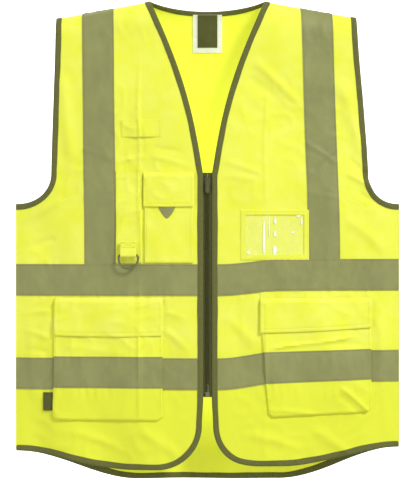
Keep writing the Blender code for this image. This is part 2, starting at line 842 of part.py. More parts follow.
def radio_loop(group):
    """Arched strip sewn down at both ends."""
    face = Face(RADIO_LEFT, RADIO_RIGHT, (RADIO_TOP + RADIO_BOTTOM) / 2)
    low = face.bulge + CLOTH + CLEAR
    steps = 12
    line = []
    for i in range(steps + 1):
        t = i / steps
        rise = smooth((0.5 - abs(t - 0.5)) / 0.32)
        line.append((face.half * (2 * t - 1), low + CLOTH / 2 + RADIO_ARCH * rise))
    profile = thick_profile(line, CLOTH)
    return prism(
        "radio_loop",
        [face.at(u, RADIO_BOTTOM, w) for u, w in profile],
        [face.at(u, RADIO_TOP, w) for u, w in profile],
        "yellow",
        group,
    )


# ---------------------------------------------------------------------- the zip
class Centre:
    """Working frame on the centre line of the front; w is the distance out."""

    def __init__(self):
        self.y = surface(0.0, run_at(0.0, ZIP_TOP), FRONT).y

    def at(self, u, v, w):
        """Point at working coordinates."""
        return Vector((u, self.y - w, v))


def centred(low, high, sign):
    """Limits on the chosen side of the centre line."""
    return (low, high) if sign > 0 else (-high, -low)


def join_tool(obj, tool, operation, cutters):
    """Boolean of a body with a hidden tool body."""
    for user in list(tool.users_collection):
        user.objects.unlink(tool)
    cutters.objects.link(tool)
    tool.hide_render = True
    tool.display_type = "WIRE"
    step = obj.modifiers.new(operation.lower(), "BOOLEAN")
    step.operation = operation
    step.solver = "EXACT"
    step.object = tool


def zip_parts(group, cutters):
    """Tapes, coils, stops, pin, box, slider and pull."""
    frame = Centre()
    inner = CHAIN_GAP / 2
    outer = inner + COIL_WIDTH
    coil_top = ZIP_TOP - STOP_LENGTH - CLEAR
    box_top = ZIP_BOTTOM + ZIP_BOX_HEIGHT
    tape = (-CLEAR - CLOTH, -CLEAR)
    pin_top = ZIP_BOTTOM + PIN_LENGTH + 1.5 * MM
    for prefix, sign in (("right", -1), ("left", 1)):
        limits = centred(inner, inner + ZIP_TAPE_WIDTH, sign)
        slab(f"{prefix}_zip_tape", frame, limits, (ZIP_BOTTOM, ZIP_TOP), tape, "olive", group)
        coil_end = pin_top + CLEAR if sign > 0 else box_top + CLEAR
        coil = slab(
            f"{prefix}_zip_coil", frame, centred(inner, outer, sign), (coil_end, coil_top),
            (0.0, COIL_HEIGHT), "dark", group,
        )
        bevel = coil.modifiers.new("round", "BEVEL")
        bevel.width = 0.6 * MM
        bevel.segments = 2
        slab(
            f"{prefix}_zip_stop", frame, centred(inner, outer, sign),
            (ZIP_TOP - STOP_LENGTH, ZIP_TOP), (0.0, COIL_HEIGHT), "metal", group,
        )
    middle = 1.2 * MM
    slab(
        "zip_pin", frame, (middle - PIN_WIDTH / 2, middle + PIN_WIDTH / 2),
        (ZIP_BOTTOM + 1.5 * MM, pin_top), (0.6 * MM, 0.6 * MM + PIN_WIDTH), "moulded", group,
    )
    box = slab(
        "zip_box", frame, (-outer, outer), (ZIP_BOTTOM, box_top), (0.0, COIL_HEIGHT + CLEAR),
        "moulded", group,
    )
    slack = PIN_WIDTH / 2 + CLEAR
    slot = slab(
        "zip_box_slot", frame, (middle - slack, middle + slack),
        (ZIP_BOTTOM + 1.5 * MM - CLEAR, box_top + 1 * MM),
        (0.6 * MM - CLEAR, 0.6 * MM + PIN_WIDTH + CLEAR), "moulded", group,
    )
    join_tool(box, slot, "DIFFERENCE", cutters)
    zip_slider(frame, coil_top, outer, group, cutters)


def zip_slider(frame, coil_top, outer, group, cutters):
    """Slider straddling both coils, and the pull on its bail."""
    top = coil_top - CLEAR
    bottom = top - SLIDER_LENGTH
    front = COIL_HEIGHT + CLEAR
    face_w = front + SLIDER_PLATE
    edge = outer + CLEAR + SLIDER_FLANGE
    blade = SLIDER_BLADE / 2
    back = -2 * CLEAR - CLOTH
    half = [
        (edge, face_w), (edge, 0.0), (outer + CLEAR, 0.0), (outer + CLEAR, front),
        (blade, front), (blade, back), (edge, back), (edge, back - SLIDER_PLATE),
    ]
    profile = half + [(-u, w) for u, w in reversed(half)]
    slider = prism(
        "zip_slider",
        [frame.at(u, bottom, w) for u, w in profile],
        [frame.at(u, top, w) for u, w in profile],
        "metal",
        group,
    )
    axis_z = top - 4 * MM
    axis_w = face_w + BAIL_STAND
    gap = EYE_WIDTH / 2 + CLEAR
    post = gap + BAIL_BAR / 2
    crown = axis_w + BAIL_BAR / 2
    arch = [
        (post, face_w - CLEAR), (post, crown), (-post, crown), (-post, face_w - CLEAR),
        (-gap, face_w - CLEAR), (-gap, crown - BAIL_BAR), (gap, crown - BAIL_BAR),
        (gap, face_w - CLEAR),
    ]
    bail = prism(
        "zip_slider_bail",
        [frame.at(u, axis_z - BAIL_BAR / 2, w) for u, w in arch],
        [frame.at(u, axis_z + BAIL_BAR / 2, w) for u, w in arch],
        "metal",
        group,
    )
    join_tool(slider, bail, "UNION", cutters)
    move_origin(slider, frame.at(0, (top + bottom) / 2, 0))
    axis = frame.at(0, axis_z, axis_w)
    eye = EYE_WIDTH / 2
    steps = 16
    rings = []
    for radius in (EYE_OUTER, EYE_INNER):
        circle = arc((axis_w, axis_z), radius, 0, 360 - 360 / steps, steps - 1)
        rings.append([[frame.at(u, v, w) for w, v in circle] for u in (-eye, eye)])
    pull = prism("zip_pull", rings[0][0], rings[0][1], "metal", group, rings[1][0], rings[1][1])
    start = axis_z - (EYE_INNER + EYE_OUTER) / 2
    wide = PULL_WIDTH / 2
    thick = 0.6 * MM
    taper = [
        (-eye, start), (eye, start), (eye, start - 1.2 * MM), (wide, start - 3 * MM),
        (wide, axis_z - PULL_LENGTH), (-wide, axis_z - PULL_LENGTH), (-wide, start - 3 * MM),
        (-eye, start - 1.2 * MM),
    ]
    plate = prism(
        "zip_pull_plate",
        [frame.at(u, v, axis_w - thick) for u, v in taper],
        [frame.at(u, v, axis_w + thick) for u, v in taper],
        "metal",
        group,
    )
    join_tool(pull, plate, "UNION", cutters)
    move_origin(pull, axis)


# ----------------------------------------------------------------------- labels
def hanging_label(name, size, layer, kind, group):
    """Label inside the back neck, hanging from the binding."""
    lift = -LABEL_STAND - layer * (LABEL + CLEAR)
    start = BACK_NECK_RUN + BINDING + CLEAR
    steps = 6
    rows = [
        [skin(x, start + size[1] * i / steps, BACK, lift) for x in (-size[0] / 2, 0.0, size[0] / 2)]
        for i in range(steps + 1)
    ]
    return sheet(name, rows, LABEL, Vector((0, 1, 0)), kind, group)


def side_tag(face, group):
    """Tag caught in the outer seam of the right lower pocket."""
    outer = face.at(-face.half, WAIST_TAPE_TOP, 0).x
    top = WAIST_TAPE_TOP - TAPE_WIDTH - CLEAR
    xs = (outer - SIDE_TAG[0] - 2 * CLEAR, outer - 2 * CLEAR)
    rows = [[skin_z(x, z, FRONT, TAPE_LIFT) for x in xs] for z in (top, top - SIDE_TAG[1])]
    return sheet("side_tag", rows, TAPE, Vector((0, -1, 0)), "green", group)


# ------------------------------------------------------------------------- build
def build():
    """Build the whole vest."""
    clear_scene()
    vest = new_collection("high_visibility_vest")
    cutters = new_collection("cutters")
    back_panel("back_panel", vest)
    front_panel("right_front_panel", -1, vest)
    front_panel("left_front_panel", 1, vest)
    back_neck_binding("back_neck_binding", vest)
    back_hem_binding("back_hem_binding", vest)
    end = HALF_WIDTH - SEAM_GAP
    start = EDGE_AT_HEM + BINDING + CLEAR
    for prefix, sign, inner in (("right", -1, RIGHT_BRACE), ("left", 1, LEFT_BRACE)):
        front_binding(f"{prefix}_front_binding", sign, vest)
        armhole_binding(f"{prefix}_armhole_binding", sign, vest)
        brace(f"{prefix}_front_brace_tape", sign, FRONT, inner[0], inner[1], vest)
        brace(f"{prefix}_back_brace_tape", sign, BACK, inner[0], BACK_BRACE_INNER, vest)
        band(f"{prefix}_chest_tape", sign * start, sign * end, CHEST_TAPE_TOP, FRONT, 12, vest)
        band(f"{prefix}_waist_tape", sign * start, sign * end, WAIST_TAPE_TOP, FRONT, 12, vest)
    band("back_chest_tape", -end, end, CHEST_TAPE_TOP, BACK, 16, vest)
    band("back_waist_tape", -end, end, WAIST_TAPE_TOP, BACK, 16, vest)
    zip_parts(vest, cutters)
    right = lower_pocket("right", RIGHT_LOWER_CENTRE, vest)
    lower_pocket("left", LEFT_LOWER_CENTRE, vest)
    phone_pocket(vest)
    pen_pocket_and_ring(vest)
    badge_pocket(vest)
    radio_loop(vest)
    hanging_label("care_label", CARE_LABEL, 1, "white", vest)
    hanging_label("size_label", SIZE_LABEL, 2, "green", vest)
    side_tag(right, vest)


build()
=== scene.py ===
"""High visibility vest: cloth, reflective tape, zip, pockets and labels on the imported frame."""

import logging
import math
from dataclasses import dataclass, field
from enum import Enum
from typing import Any, Callable, Dict, List, Optional, Sequence, Tuple, Union

import bmesh
import bpy
import numpy as np
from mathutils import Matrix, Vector


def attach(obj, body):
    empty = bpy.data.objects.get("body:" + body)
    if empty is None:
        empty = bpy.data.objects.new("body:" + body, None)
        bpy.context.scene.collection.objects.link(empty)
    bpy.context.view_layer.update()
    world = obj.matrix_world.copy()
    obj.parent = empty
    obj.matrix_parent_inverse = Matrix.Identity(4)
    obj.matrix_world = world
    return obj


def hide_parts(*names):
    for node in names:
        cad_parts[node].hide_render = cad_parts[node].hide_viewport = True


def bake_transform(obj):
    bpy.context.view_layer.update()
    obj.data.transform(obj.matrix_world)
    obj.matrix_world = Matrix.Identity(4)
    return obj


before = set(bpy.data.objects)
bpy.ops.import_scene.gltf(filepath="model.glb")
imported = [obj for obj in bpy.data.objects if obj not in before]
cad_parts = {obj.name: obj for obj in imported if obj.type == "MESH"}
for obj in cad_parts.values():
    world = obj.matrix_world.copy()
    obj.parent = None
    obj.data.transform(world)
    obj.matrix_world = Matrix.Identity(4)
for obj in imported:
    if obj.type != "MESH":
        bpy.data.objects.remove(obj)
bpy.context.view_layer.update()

log = logging.getLogger("vest")

MM = 0.001
Array = np.ndarray
Colour = Tuple[float, float, float]
Number = Union[float, Array]
Pair = Tuple[float, float]
Piece = bpy.types.Object

FABRIC = "hi_vis_fabric"
REFLECTIVE = "reflective_tape"
TRIM = "olive_binding"
HALVES = (("right", -1), ("left", 1))

CLOTH = 0.7 * MM
TAPE_LIFT = 1.05 * MM
TAPE_THICK = 0.4 * MM
FLAP_BEND = 8.6 * MM  # depth of the bend below a flap's seam
HOOK_DROP = 0.46 * MM  # how far the hooks stand in from the flap's inner face


class Side(Enum):
    """Which half of the garment, seen from the wearer's middle."""

    FRONT = -1
    BACK = 1


class Rider(Enum):
    """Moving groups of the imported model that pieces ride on."""

    VEST = "vest"
    SLIDER = "zip_slider"
    PULL = "zip_pull"
    RIGHT_FLAP = "right_flap"
    LEFT_FLAP = "left_flap"
    PHONE_FLAP = "phone_flap"
    RING = "ring"


# --- shader graph
class Wire:
    """A shader value that writes its own Math nodes."""

    def __init__(self, tree: bpy.types.NodeTree, socket: bpy.types.NodeSocket) -> None:
        """Keep the socket and its tree."""
        self.tree = tree
        self.socket = socket

    def _math(self, operation: str, *values: Any) -> "Wire":
        """Add one Math node.

        Args:
            operation: name of the Math operation.
            values: wires or numbers, in the order of the node's inputs.

        Returns:
            The result.
        """
        node = self.tree.nodes.new("ShaderNodeMath")
        node.operation = operation
        for socket, value in zip(node.inputs, values):
            if isinstance(value, Wire):
                self.tree.links.new(value.socket, socket)
            else:
                socket.default_value = value
        return Wire(self.tree, node.outputs[0])

    def __add__(self, other: Any) -> "Wire":
        """Sum."""
        return self._math("ADD", self, other)

    __radd__ = __add__

    def __sub__(self, other: Any) -> "Wire":
        """Difference."""
        return self._math("SUBTRACT", self, other)

    def __rsub__(self, other: Any) -> "Wire":
        """Difference from the other side."""
        return self._math("SUBTRACT", other, self)

    def __mul__(self, other: Any) -> "Wire":
        """Product."""
        return self._math("MULTIPLY", self, other)

    __rmul__ = __mul__

    def __truediv__(self, other: Any) -> "Wire":
        """Quotient."""
        return self._math("DIVIDE", self, other)

    def __pow__(self, other: Any) -> "Wire":
        """Power."""
        return self._math("POWER", self, other)

    def sine(self) -> "Wire":
        """Sine of the value in radians."""
        return self._math("SINE", self)

    def size(self) -> "Wire":
        """Value without its sign."""
        return self._math("ABSOLUTE", self)

    def clip(self) -> "Wire":
        """Value held between 0 and 1."""
        return self._math("MINIMUM", self._math("MAXIMUM", self, 0.0), 1.0)

    def band(self, low: float, high: float) -> "Wire":
        """Ramp from 0 at low to 1 at high."""
        return ((self - low) * (1.0 / (high - low))).clip()


class Paint:
    """One material under construction."""

    def __init__(self, name: str) -> None:
        """Start a Principled material and read the rest position of the surface."""
        self.material = bpy.data.materials.new(name)
        self.material.use_nodes = True
        self.tree = self.material.node_tree
        self.shader = self.tree.nodes["Principled BSDF"]
        places = self.node("ShaderNodeTexCoord")
        self.spot, self.facing = places.outputs["Object"], places.outputs["Normal"]
        split = self.node("ShaderNodeSeparateXYZ", sockets={"Vector": self.spot})
        self.x, self.y, self.z = (Wire(self.tree, split.outputs[i]) for i in range(3))

    def node(
        self,
        kind: str,
        settings: Optional[Dict[str, Any]] = None,
        sockets: Optional[Dict[Any, Any]] = None,
    ) -> bpy.types.Node:
        """Add any node.

        Args:
            kind: node type.
            settings: attributes set before the sockets.
            sockets: input name or index to a wire, a socket or a plain value.

        Returns:
            The node.
        """
        node = self.tree.nodes.new(kind)
        for key, value in (settings or {}).items():
            setattr(node, key, value)
        for key, value in (sockets or {}).items():
            self.plug(node.inputs[key], value)
        return node

    def plug(self, socket: bpy.types.NodeSocket, value: Any) -> None:
        """Link a wire or socket to an input, or set a plain value."""
        if isinstance(value, Wire):
            value = value.socket
        if isinstance(value, bpy.types.NodeSocket):
            self.tree.links.new(value, socket)
        elif socket.type == "RGBA":
            socket.default_value = (*value, 1.0)
        else:
            socket.default_value = value

    def noise(self, size: float, detail: float = 2.0, stretch: Colour = (1, 1, 1)) -> Wire:
        """Noise with features of one size.

        Args:
            size: feature size in metres.
            detail: octaves of finer detail.
            stretch: scale of each axis.

        Returns:
            Values around 0.5.
        """
        place = self.node(
            "ShaderNodeVectorMath",
            {"operation": "MULTIPLY"},
            {0: self.spot, 1: tuple(s / size for s in stretch)},
        )
        sockets = {"Vector": place.outputs[0], "Scale": 1.0, "Detail": detail}
        return Wire(self.tree, self.node("ShaderNodeTexNoise", None, sockets).outputs[0])

    def mix(self, low: Any, high: Any, share: Any) -> bpy.types.NodeSocket:
        """Blend two colours.

        Args:
            low: colour or colour socket at share 0.
            high: colour or colour socket at share 1.
            share: wire or number.

        Returns:
            Colour socket.
        """
        node = self.node("ShaderNodeMix", {"data_type": "RGBA"}, {0: share, 6: low, 7: high})
        return node.outputs[2]

    def bump(self, height: Wire, depth: float, strength: float = 1.0) -> None:
        """Feed the shader's Normal from a height.

        Args:
            height: values from 0 to 1.
            depth: height of 1 in metres.
            strength: share of the effect.
        """
        node = self.node(
            "ShaderNodeBump", None, {"Strength": strength, "Distance": depth, "Height": height}
        )
        self.feed("Normal", node.outputs[0])

    def feed(self, name: str, value: Any) -> None:
        """Link or set one input of the shader."""
        self.plug(self.shader.inputs[name], value)


def in_mm(kind: Callable[..., Any], *rows: Tuple[float, ...]) -> Tuple[Any, ...]:
    """Make one item of a kind from each row of millimetres."""
    return tuple(kind(*(value * MM for value in row)) for row in rows)


def tint(colour: Colour, factor: float) -> Colour:
    """Colour made lighter or darker by a factor."""
    return tuple(min(1.0, c * factor) for c in colour)


@dataclass(frozen=True)
class Finish:
    """A surface finish; each kind paints its own detail."""

    name: str
    colour: Colour
    roughness: float

    def paint(self, paint: Paint) -> None:
        """Add the finish's detail to a started material."""
        raise NotImplementedError

    def material(self) -> bpy.types.Material:
        """Return the material, made on first use."""
        known = bpy.data.materials.get(self.name)
        if known:
            return known
        paint = Paint(self.name)
        self.paint(paint)
        return paint.material

    def dress(self, obj: Piece) -> Piece:
        """Give an object this finish only."""
        obj.data.materials.clear()
        obj.data.materials.append(self.material())
        return obj


@dataclass(frozen=True)
class Knit(Finish):
    """Fluorescent warp knit with fine wales and courses."""

    wale: float = 0.9 * MM
    course: float = 0.7 * MM
    # painted glow: emission of the outer face, standing in for the knit's fluorescence
    glow: float = 0.05
    # painted light: emission of the inside face that looks to the front, lifting its shade
    inside_painted_glow: float = 0.05
    # distance down from the shoulder over which the inside's painted light grows
    painted_glow_fall: float = 260 * MM
    # painted shade: share of the darker, more saturated colour towards the hem
    painted_hem_shade: float = 0.95
    cloud_shares: Colour = (0.955, 0.965, 0.45)
    # painted shade: how far each channel drops towards the hem
    painted_hem_shade_tint: Colour = (0.885, 0.915, 0.33)

    def paint(self, paint: Paint) -> None:
        """Paint wales, courses, a random cloud, painted shade and a painted glow."""
        wander = (paint.noise(30 * MM) - 0.5) * 1.5
        wales = (paint.x * (math.pi / self.wale) + wander).sine().size()
        courses = (paint.z * (2 * math.pi / self.course) + wales * 2.2).sine() * 0.5 + 0.5
        loops = wales * 0.65 + courses * 0.35
        cloud = paint.noise(28 * MM, 4.0).band(0.3, 0.7)
        # random cloud tone, and the painted shade colour towards the hem
        deep, painted_shade_colour = (
            tuple(c * share for c, share in zip(self.colour, shares))
            for shares in (self.cloud_shares, self.painted_hem_shade_tint)
        )
        # painted shade: the knit darkens towards the hem, from 520 to 620 mm down
        low = (paint.z * -1.0).band(0.52, 0.62) * self.painted_hem_shade
        base = paint.mix(paint.mix(deep, self.colour, cloud), painted_shade_colour, low)
        # painted shade in the valleys between the knit's loops
        painted_valley_shade = (1 - loops) * 0.22
        paint.feed("Base Color", paint.mix(base, tint(self.colour, 0.80), painted_valley_shade))
        paint.feed("Roughness", self.roughness + (1 - loops) * 0.08)
        # painted glow and painted light: emission of the outside, and of the inside face that
        # looks to the front, growing downwards and fading at the hem
        down = (paint.z * (-1.0 / self.painted_glow_fall)).band(0.0, 1.0)
        facing = paint.node("ShaderNodeSeparateXYZ", sockets={"Vector": paint.facing})
        front = (Wire(paint.tree, facing.outputs[1]) * -1.0).band(-0.2, 0.2)
        outside = tint(self.colour, self.glow / self.inside_painted_glow)
        hem = 1.0 - (paint.z * -1.0).band(0.61, 0.71) * 0.75
        share = front * (down * 0.80 + 0.20) * hem
        paint.feed("Emission Color", paint.mix(outside, self.colour, share))
        paint.feed("Emission Strength", self.inside_painted_glow)
        paint.feed("Specular IOR Level", 0.14)
        paint.bump(loops * 0.85 + paint.noise(2.2 * MM, 3.0) * 0.15, 0.16 * MM, 0.55)


@dataclass(frozen=True)
class Beaded(Finish):
    """Retroreflective tape: fine beads on a woven backing."""

    bead: float = 0.45 * MM

    def paint(self, paint: Paint) -> None:
        """Paint the bead sparkle, the backing weave and rubbed creases."""
        warp = (paint.x * (math.pi / self.bead)).sine().size()
        weft = (paint.z * (math.pi / self.bead)).sine().size()
        weave = warp * weft
        rub = paint.noise(7 * MM, 4.0).band(0.58, 0.78)
        cloud = paint.noise(24 * MM, 4.0, (1.0, 1.0, 0.55)).band(0.28, 0.72)
        base = paint.mix(tint(self.colour, 0.86), tint(self.colour, 1.10), cloud)
        grain = paint.mix(base, tint(self.colour, 0.82), (1 - weave) * 0.35)
        paint.feed("Base Color", paint.mix(grain, tint(self.colour, 1.12), rub * 0.35))
        paint.feed("Roughness", self.roughness + rub * 0.12 - weave * 0.05)
        paint.feed("Specular IOR Level", 0.3)
        paint.bump(weave * 0.7 + paint.noise(1.1 * MM, 3.0) * 0.3, 0.10 * MM, 0.5)


@dataclass(frozen=True)
class Woven(Finish):
    """Plain woven trim with visible ribs."""

    rib: float = 1.3 * MM
    relief: float = 0.22 * MM

    def paint(self, paint: Paint) -> None:
        """Paint diagonal ribs crossed by finer yarns."""
        wander = (paint.noise(12 * MM) - 0.5) * 2.0
        turn = math.pi / self.rib
        ribs = ((paint.x + paint.z) * turn + wander).sine().size()
        yarns = ((paint.x - paint.z) * (turn * 1.6)).sine().size()
        weave = ribs * 0.6 + yarns * 0.4
        fray = paint.noise(4 * MM, 4.0).band(0.35, 0.75)
        base = paint.mix(tint(self.colour, 0.86), tint(self.colour, 1.08), fray)
        paint.feed("Base Color", paint.mix(tint(self.colour, 0.62), base, weave.band(0.05, 0.6)))
        paint.feed("Roughness", self.roughness - weave * 0.08)
        paint.feed("Specular IOR Level", 0.25)
        paint.bump(weave * 0.8 + fray * 0.2, self.relief, 0.6)


@dataclass(frozen=True)
class Moulded(Finish):
    """Moulded plastic or enamelled metal with a fine skin and handled edges."""

    metallic: float = 0.0
    grain: float = 0.9 * MM

    def paint(self, paint: Paint) -> None:
        """Paint the mould skin, light scuffs and uneven gloss."""
        skin = paint.noise(self.grain, 4.0)
        scuff = paint.noise(3.5 * MM, 5.0, (1.0, 1.0, 3.0)).band(0.56, 0.72)
        base = paint.mix(tint(self.colour, 0.88), tint(self.colour, 1.10), skin.band(0.35, 0.65))
        paint.feed("Base Color", paint.mix(base, tint(self.colour, 1.55), scuff * 0.35))
        paint.feed("Roughness", self.roughness + scuff * 0.2)
        paint.feed("Metallic", self.metallic)
        paint.bump(skin, 0.05 * MM, 0.35)


@dataclass(frozen=True)
class Glint:
    """A painted glint: a fixed reflection on a crease of the film, by its middle and half sizes.
    """

    x: float
    z: float
    wide: float
    tall: float


@dataclass(frozen=True)
class Vinyl(Finish):
    """Clear film with soft waves, painted glints and a painted haze of reflections."""

    clearness: float = 0.07
    glints: Tuple[Glint, ...] = in_mm(
        Glint,
        (88, -372, 1.9, 33), (105.5, -345, 2.2, 5),
        (105, -365, 2.4, 4.5), (105, -391, 3.4, 9),
        (142, -337, 4.5, 2.2), (146.5, -346, 1.5, 6),
        (133, -363, 3.4, 1.8), (64, -394, 3.0, 3.0),
        (96, -352, 0.8, 22),
    )

    def paint(self, paint: Paint) -> None:
        """Paint a glossy, nearly clear film with painted glints and a painted haze of reflections.
        """
        waves = paint.noise(22 * MM, 2.0, (1.0, 1.0, 0.5))
        ragged = (paint.noise(5 * MM, 3.0) - 0.5) * 0.9
        # painted reflections: fixed white glints at the film's creases, more opaque where they
        # shine
        shine: Any = 0.0
        for glint in self.glints:
            across = ((paint.x - glint.x) / glint.wide) ** 2.0
            upward = ((paint.z - glint.z) / glint.tall) ** 2.0
            shine = shine + (1.0 - (across + upward) + ragged).clip()
        shine = (shine * 1.4).clip()
        # painted haze: faint milky streaks standing in for soft reflections on the film
        painted_haze = paint.noise(9 * MM, 3.0, (1.6, 1.0, 0.7)).band(0.50, 0.75)
        paint.feed("Base Color", paint.mix(self.colour, (1.0, 1.0, 0.97), shine))
        paint.feed("Roughness", self.roughness + painted_haze * 0.05)
        paint.feed("Alpha", shine * 0.85 + painted_haze * 0.10 + self.clearness)
        paint.feed("Coat Weight", 0.5)
        paint.feed("Coat Roughness", 0.04)
        paint.bump(waves, 1.4 * MM, 0.6)


@dataclass(frozen=True)
class Satin(Finish):
    """Label satin with fine warp lines."""

    line: float = 0.5 * MM

    def paint(self, paint: Paint) -> None:
        """Paint fine lines and a faint cloud."""
        warp = (paint.x * (math.pi / self.line)).sine().size()
        weft = (paint.z * (math.pi / (2.4 * self.line))).sine().size()
        cloud = paint.noise(9 * MM, 3.0)
        base = paint.mix(tint(self.colour, 0.93), self.colour, cloud.band(0.3, 0.7))
        paint.feed("Base Color", paint.mix(tint(self.colour, 0.80), base, warp.band(0.0, 0.5)))
        paint.feed("Roughness", self.roughness - weft * 0.1)
        paint.feed("Specular IOR Level", 0.2)
        paint.bump(warp * 0.6 + weft * 0.4, 0.07 * MM, 0.5)


@dataclass(frozen=True)
class Fuzzy(Finish):
    """Hook and loop tape pile."""

    pile: float = 0.8 * MM

    def paint(self, paint: Paint) -> None:
        """Paint a tangled pile."""
        tangle = paint.noise(self.pile, 5.0)
        base = paint.mix(tint(self.colour, 0.55), tint(self.colour, 1.25), tangle.band(0.35, 0.65))
        paint.feed("Base Color", base)
        paint.feed("Roughness", self.roughness)
        paint.feed("Sheen Weight", 0.3)
        paint.bump(tangle, 0.5 * MM, 0.9)


@dataclass(frozen=True)
class Thread(Finish):
    """Twisted sewing thread."""

    twist: float = 0.55 * MM

    def paint(self, paint: Paint) -> None:
        """Paint the ply of the thread."""
        along = paint.x + paint.y + paint.z * 0.6
        ply = (along * (2 * math.pi / self.twist)).sine() * 0.5 + 0.5
        paint.feed("Base Color", paint.mix(tint(self.colour, 0.72), self.colour, ply))
        paint.feed("Roughness", self.roughness)
        paint.bump(ply, 0.05 * MM, 0.5)


YELLOW = Knit("hi_vis_knit", (0.81, 0.845, 0.113), 0.86)
# the back's own copy of the knit: less blue, with a strong painted glow on its inside face and no
# painted hem shade
BACK_YELLOW_WITH_PAINTED_GLOW = Knit(
    "hi_vis_knit_inside", (0.80, 0.84, 0.070), 0.90, inside_painted_glow=0.78, painted_hem_shade=0.0
)
TAPE = Beaded("beaded_tape", (0.262, 0.270, 0.094), 0.52)
OLIVE = Woven("binding_weave", (0.136, 0.142, 0.036), 0.88)
ZIP_TAPE = Woven("zip_tape_weave", (0.078, 0.080, 0.020), 0.86, rib=0.9 * MM, relief=0.14 * MM)
COIL = Moulded("zip_coil_nylon", (0.068, 0.069, 0.018), 0.36, grain=0.5 * MM)
ENAMEL = Moulded("zip_enamel", (0.085, 0.087, 0.036), 0.36, metallic=0.45)
PLASTIC = Moulded("ring_plastic", (0.112, 0.117, 0.040), 0.42)
VINYL = Vinyl("window_film", (0.95, 0.97, 0.62), 0.07)
WHITE = Satin("white_label_satin", (0.90, 0.92, 0.80), 0.62)
GREEN = Satin("green_label_weave", (0.086, 0.092, 0.022), 0.78, line=0.7 * MM)
PILE = Fuzzy("hook_and_loop_pile", (0.15, 0.16, 0.045), 0.95)
YELLOW_THREAD = Thread("yellow_thread", (0.66, 0.72, 0.045), 0.7)
OLIVE_THREAD = Thread("olive_thread", (0.175, 0.18, 0.060), 0.7)


# --- garment form
def ease(t: Number) -> Array:
    """Ease from 0 to 1 with level ends."""
    t = np.clip(t, 0.0, 1.0)
    return t * t * (3 - 2 * t)


def unit(vectors: Array) -> Array:
    """Vectors of length 1."""
    return vectors / np.maximum(np.linalg.norm(vectors, axis=-1, keepdims=True), 1e-12)


def lattice(rows: Array, cols: Array) -> List[Array]:
    """Row and column values of every place of a grid."""
    return np.meshgrid(rows, cols, indexing="ij")


def turns(count: int) -> Array:
    """Evenly spaced angles of one full turn."""
    return np.linspace(0, 2 * math.pi, count + 1)[:-1]


@dataclass
class Waves:
    """Smooth repeatable field made of a few plane waves."""

    seed: int
    length: float
    count: int = 9
    lean: float = 1.0  # below 1, waves run mostly along x

    def __post_init__(self) -> None:
        """Draw the waves."""
        rng = np.random.default_rng(self.seed)
        angle = rng.uniform(-math.pi / 2, math.pi / 2, self.count) * self.lean
        pace = 2 * math.pi / (self.length * rng.uniform(0.65, 1.5, self.count))
        self.kx, self.kz = pace * np.cos(angle), pace * np.sin(angle)
        self.phase = rng.uniform(0, 2 * math.pi, self.count)

    def at(self, x: Array, z: Array) -> Array:
        """Value of about -1 to 1 at each place."""
        total = np.zeros(np.broadcast(x, z).shape)
        for kx, kz, phase in zip(self.kx, self.kz, self.phase):
            total = total + np.sin(kx * x + kz * z + phase)
        return total / math.sqrt(self.count * 1.5)


@dataclass(frozen=True)
class Crease:
    """A soft ridge or valley between two places of a panel."""

    x0: float
    z0: float
    x1: float
    z1: float
    width: float
    height: float

    def at(self, x: Array, z: Array) -> Array:
        """Height of the crease at each place."""
        dx, dz = self.x1 - self.x0, self.z1 - self.z0
        length = math.hypot(dx, dz)
        along = ((x - self.x0) * dx + (z - self.z0) * dz) / length
        off = ((x - self.x0) * dz - (z - self.z0) * dx) / length
        off = off + 1.2 * MM * np.sin(along / (21 * MM))
        fade = ease(along / (0.18 * length)) * ease((length - along) / (0.18 * length))
        return self.height * fade * np.exp(-((off / self.width) ** 2))


